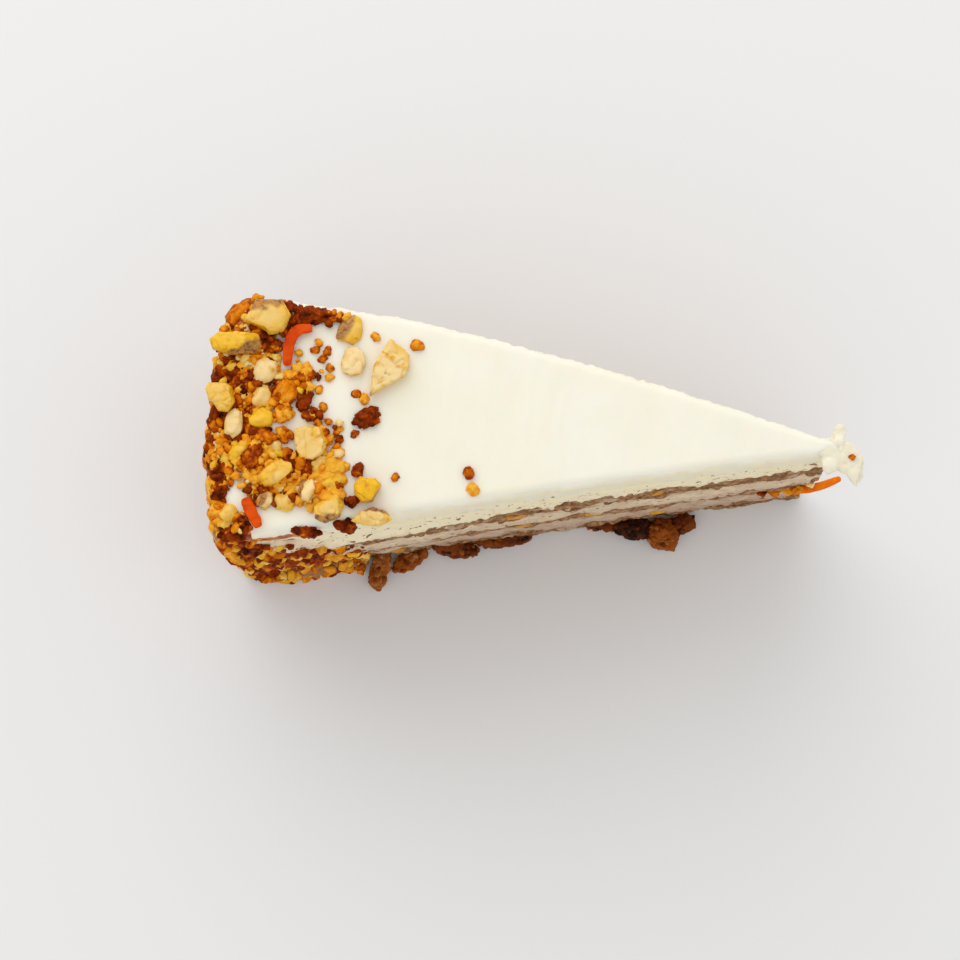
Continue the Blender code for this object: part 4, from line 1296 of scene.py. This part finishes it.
def icing_paint():
    """Ivory cream, painted warmer on the cuts as painted warm shade, with crumb stuck to it along the rim and
    all over the back wall.
    """
    material, tree, shader = new_paint("cream_icing", 0.42, 0.3, 2.5 * MM, 0.3)
    top = ramp(tree, spots(tree, 0.06, 3, 0.6), [(0.35, IVORY), (0.72, IVORY_DEEP)])
    # The cut faces take the ivory with painted warm shade, a stand-in for the reflected light in their shade.
    side = ramp(tree, spots(tree, 0.25, 4, 0.8), [(0.35, IVORY_PAINTED_WARM_SHADE), (0.7, IVORY_DEEP)])
    cream = blended(tree, stored(tree, "side"), top, side)
    browns = [(0.34, DARK), (0.46, GOLDEN_DEEP), (0.58, GOLDEN), (0.74, HONEY)]
    crumb = ramp(tree, spots(tree, 0.8, 5, 0.5), browns)
    stained = threshold(tree, mixed(tree, 0.5, stored(tree, "stain"), spots(tree, 0.5, 5, 0.6)), 0.46, 0.53)
    colour_with(tree, shader, blended(tree, stained, cream, crumb))
    bumps(tree, shader, spots(tree, 1.1, 4), 0.1 * MM, 0.25)
    return material


def tip_paint():
    material, tree, shader = new_paint("tip_cream", 0.4, 0.3, 2 * MM, 0.35)
    colour_with(tree, shader, ramp(tree, spots(tree, 0.3, 3), [(0.35, SMEAR_IVORY), (0.7, IVORY_DEEP)]))
    return material


def cake_paint():
    material, tree, shader = new_paint("cake_crumb", 0.82, 0.08, 1 * MM, 0.2)
    browns = [(0.3, CRUMB_DARK), (0.47, CRUMB_BROWN), (0.68, CRUMB_LIGHT)]
    crumb = ramp(tree, spots(tree, 0.75, 6, 0.4), browns)
    orange = ramp(tree, spots(tree, 2.0, 2), [(0.4, GOLDEN_DEEP), (0.6, GOLDEN)])
    shreds = threshold(tree, spots(tree, 0.42, 3, 2.0), 0.64, 0.70)
    colour_with(tree, shader, blended(tree, shreds, crumb, orange))
    bumps(tree, shader, spots(tree, 2.6, 5), 0.3 * MM, 0.7)
    return material


def lump_paint():
    material, tree, shader = new_paint("cake_lump", 0.6, 0.06, 1 * MM, 0.12)
    shade = mixed(tree, 0.45, stored(tree, "tone"), spots(tree, 0.4, 5, 0.8))
    # The darkest stop carries painted contact shadow as well as the lumps' dark crumb.
    browns = [(0.25, LUMP_BLACK_WITH_SHADOW), (0.42, LUMP_RED), (0.6, LUMP_ORANGE), (0.75, LUMP_TAN)]
    colour_with(tree, shader, ramp(tree, shade, browns))
    bumps(tree, shader, spots(tree, 2.2, 5), 0.3 * MM, 0.6)
    return material


def filling_paint():
    material, tree, shader = new_paint("cream_filling", 0.5, 0.25, 2 * MM, 0.3)
    cream = ramp(tree, spots(tree, 0.25, 4, 0.8), [(0.35, SMEAR_TAN), (0.6, SMEAR_PALE)])
    crumb = ramp(tree, spots(tree, 1.0, 2), [(0.4, CRUMB_BROWN), (0.6, GOLDEN)])
    colour_with(tree, shader, blended(tree, threshold(tree, spots(tree, 0.8, 3), 0.62, 0.68), cream, crumb))
    bumps(tree, shader, spots(tree, 1.4, 4), 0.15 * MM, 0.4)
    return material


def smear_paint():
    """Dragged cream: ivory next to the icing, and tan where crumb is mixed into it."""
    material, tree, shader = new_paint("cream_smear", 0.5, 0.2, 1.5 * MM, 0.3)
    shade = mixed(tree, 0.4, stored(tree, "cream"), spots(tree, 0.35, 5, 0.6))
    # The whitest dragged cream takes the ivory with painted warm shade of the cut faces.
    base = ramp(tree, shade, [(0.30, SMEAR_BROWN), (0.42, SMEAR_TAN), (0.56, SMEAR_PALE), (0.75, IVORY_PAINTED_WARM_SHADE)])
    crumb = ramp(tree, spots(tree, 1.0, 2), [(0.4, CRUMB_DARK), (0.6, CRUMB_LIGHT)])
    colour_with(tree, shader, blended(tree, threshold(tree, spots(tree, 0.9, 3), 0.62, 0.68), base, crumb))
    bumps(tree, shader, spots(tree, 1.4, 4), 0.15 * MM, 0.4)
    return material


def nut_paint():
    """Waxy broken walnut from pale to amber, with brown papery skin where the piece still has it."""
    material, tree, shader = new_paint("walnut_flesh", 0.36, 0.35, 1.2 * MM, 0.2)
    # The stored tone holds painted shade: deeper, more amber, towards each piece's foot.
    tone = mixed(tree, 0.35, stored(tree, "tone"), spots(tree, 0.3, 4, 0.5))
    flesh = ramp(tree, tone, [(0.22, PALE), (0.42, HONEY), (0.62, YELLOW), (0.80, AMBER)])
    skin = ramp(tree, spots(tree, 0.8, 5, 1.2), [(0.34, SKIN_BROWN), (0.55, SKIN_TAN), (0.75, AMBER)])
    amber = ramp(tree, spots(tree, 1.2, 3), [(0.4, AMBER), (0.6, YELLOW)])
    marbled = blended(tree, threshold(tree, spots(tree, 0.3, 4, 1.2), 0.50, 0.78), flesh, amber)
    colour_with(tree, shader, blended(tree, stored(tree, "skin"), marbled, skin))
    bumps(tree, shader, spots(tree, 1.0, 4, 0.8), 0.15 * MM, 0.45)
    return material


def golden_paint():
    material, tree, shader = new_paint("golden_crumb", 0.5, 0.12, 0.6 * MM, 0.05)
    # The stored tone holds painted shade: darker towards each crumb's foot.
    shade = mixed(tree, 0.55, stored(tree, "tone"), spots(tree, 0.7, 5, 0.6))
    stops = [(0.28, GOLDEN_PALE), (0.45, GOLDEN), (0.58, GOLDEN_DEEP), (0.70, DARK)]
    colour_with(tree, shader, ramp(tree, shade, stops))
    bumps(tree, shader, spots(tree, 2.4, 4), 0.2 * MM, 0.5)
    return material


def dark_paint():
    material, tree, shader = new_paint("dark_crumb", 0.5, 0.05, 0.6 * MM, 0.04)
    stops = [(0.34, DARK_DEEP), (0.48, DARK), (0.62, GOLDEN_DEEP), (0.72, GOLDEN)]
    colour_with(tree, shader, ramp(tree, spots(tree, 0.5, 5, 0.6), stops))
    bumps(tree, shader, spots(tree, 2.4, 4), 0.2 * MM, 0.6)
    return material


def carrot_paint(name, deep, bright):
    material, tree, shader = new_paint(name, 0.35, 0.08, 0.6 * MM, 0.08)
    colour_with(tree, shader, ramp(tree, spots(tree, 0.35, 4, 1.0), [(0.35, deep), (0.62, bright)]))
    bumps(tree, shader, spots(tree, 1.6, 3), 0.12 * MM, 0.4)
    return material


def floor_paint():
    material, _, shader = new_paint("pale_floor", 0.6, 0, 1 * MM, 0.2)
    shader.inputs["Base Color"].default_value = (*FLOOR, 1)
    return material


# Set

def floor():
    sheet = bmesh.new()
    bmesh.ops.create_grid(sheet, x_segments=1, y_segments=1, size=FLOOR_REACH)
    mesh = mesh_of(sheet, "floor")
    mesh.materials.append(floor_paint())
    item = new_item("floor", mesh)


def soft_light(name, place, aim, size, power, colour):
    lamp = bpy.data.lights.new(name, "AREA")
    lamp.shape = "DISK"
    lamp.size = size
    lamp.energy = power
    lamp.color = colour
    item = new_item(name, lamp)
    item.location = place
    item.rotation_euler = (Vector(aim) - Vector(place)).to_track_quat("-Z", "Y").to_euler()


def studio():
    world = bpy.data.worlds.new("soft_room")
    world.use_nodes = True
    world.node_tree.nodes["Background"].inputs["Color"].default_value = (1, 1, 1, 1)
    world.node_tree.nodes["Background"].inputs["Strength"].default_value = ROOM_LIGHT
    bpy.context.scene.world = world
    bpy.context.scene.view_settings.view_transform = "Standard"
    soft_light("window", WINDOW_PLACE, (0, 0, 0.04), WINDOW_WIDTH, WINDOW_POWER, (1, 0.99, 0.97))


def camera():
    back = Vector((
        math.sin(AZIMUTH) * math.cos(ELEVATION),
        -math.cos(AZIMUTH) * math.cos(ELEVATION),
        math.sin(ELEVATION),
    ))
    lens = bpy.data.cameras.new("camera")
    lens.lens = LENS
    lens.clip_start = 0.01
    item = new_item("camera", lens)
    item.location = EYE
    item.rotation_euler = back.to_track_quat("Z", "Y").to_euler()
    bpy.context.scene.camera = item


def main():
    cake = cake_paint()
    filling = filling_paint()
    smear = smear_paint()
    cream = icing_paint()
    carrot = carrot_paint("carrot_strip", CARROT_DEEP, CARROT)
    nut = nut_paint()
    for number, name in enumerate(("cake_layer_bottom", "cake_layer_middle", "cake_layer_top")):
        fine_cake(name, number * STOREY, cake)
    fine_filling("filling_over_bottom", CAKE_HEIGHT + GAP, filling)
    fine_filling("filling_over_middle", STOREY + CAKE_HEIGHT + GAP, filling)
    cream_skin("smear_near", -1, smear)
    cream_skin("smear_far", 1, smear)
    tip_smear(tip_paint())
    paints = {"nut": nut, "golden": golden_paint(), "dark": dark_paint()}
    nuts_and_crumbs(paints, fine_icing(cream))
    loose_crumbs(paints)
    large_walnuts(nut)
    carrot_shreds(carrot)
    tip_shred(carrot_paint("bright_carrot", CARROT, CARROT_BRIGHT))
    inclusions(carrot, nut)
    foot_lumps(lump_paint())
    floor()
    studio()
    camera()


main()
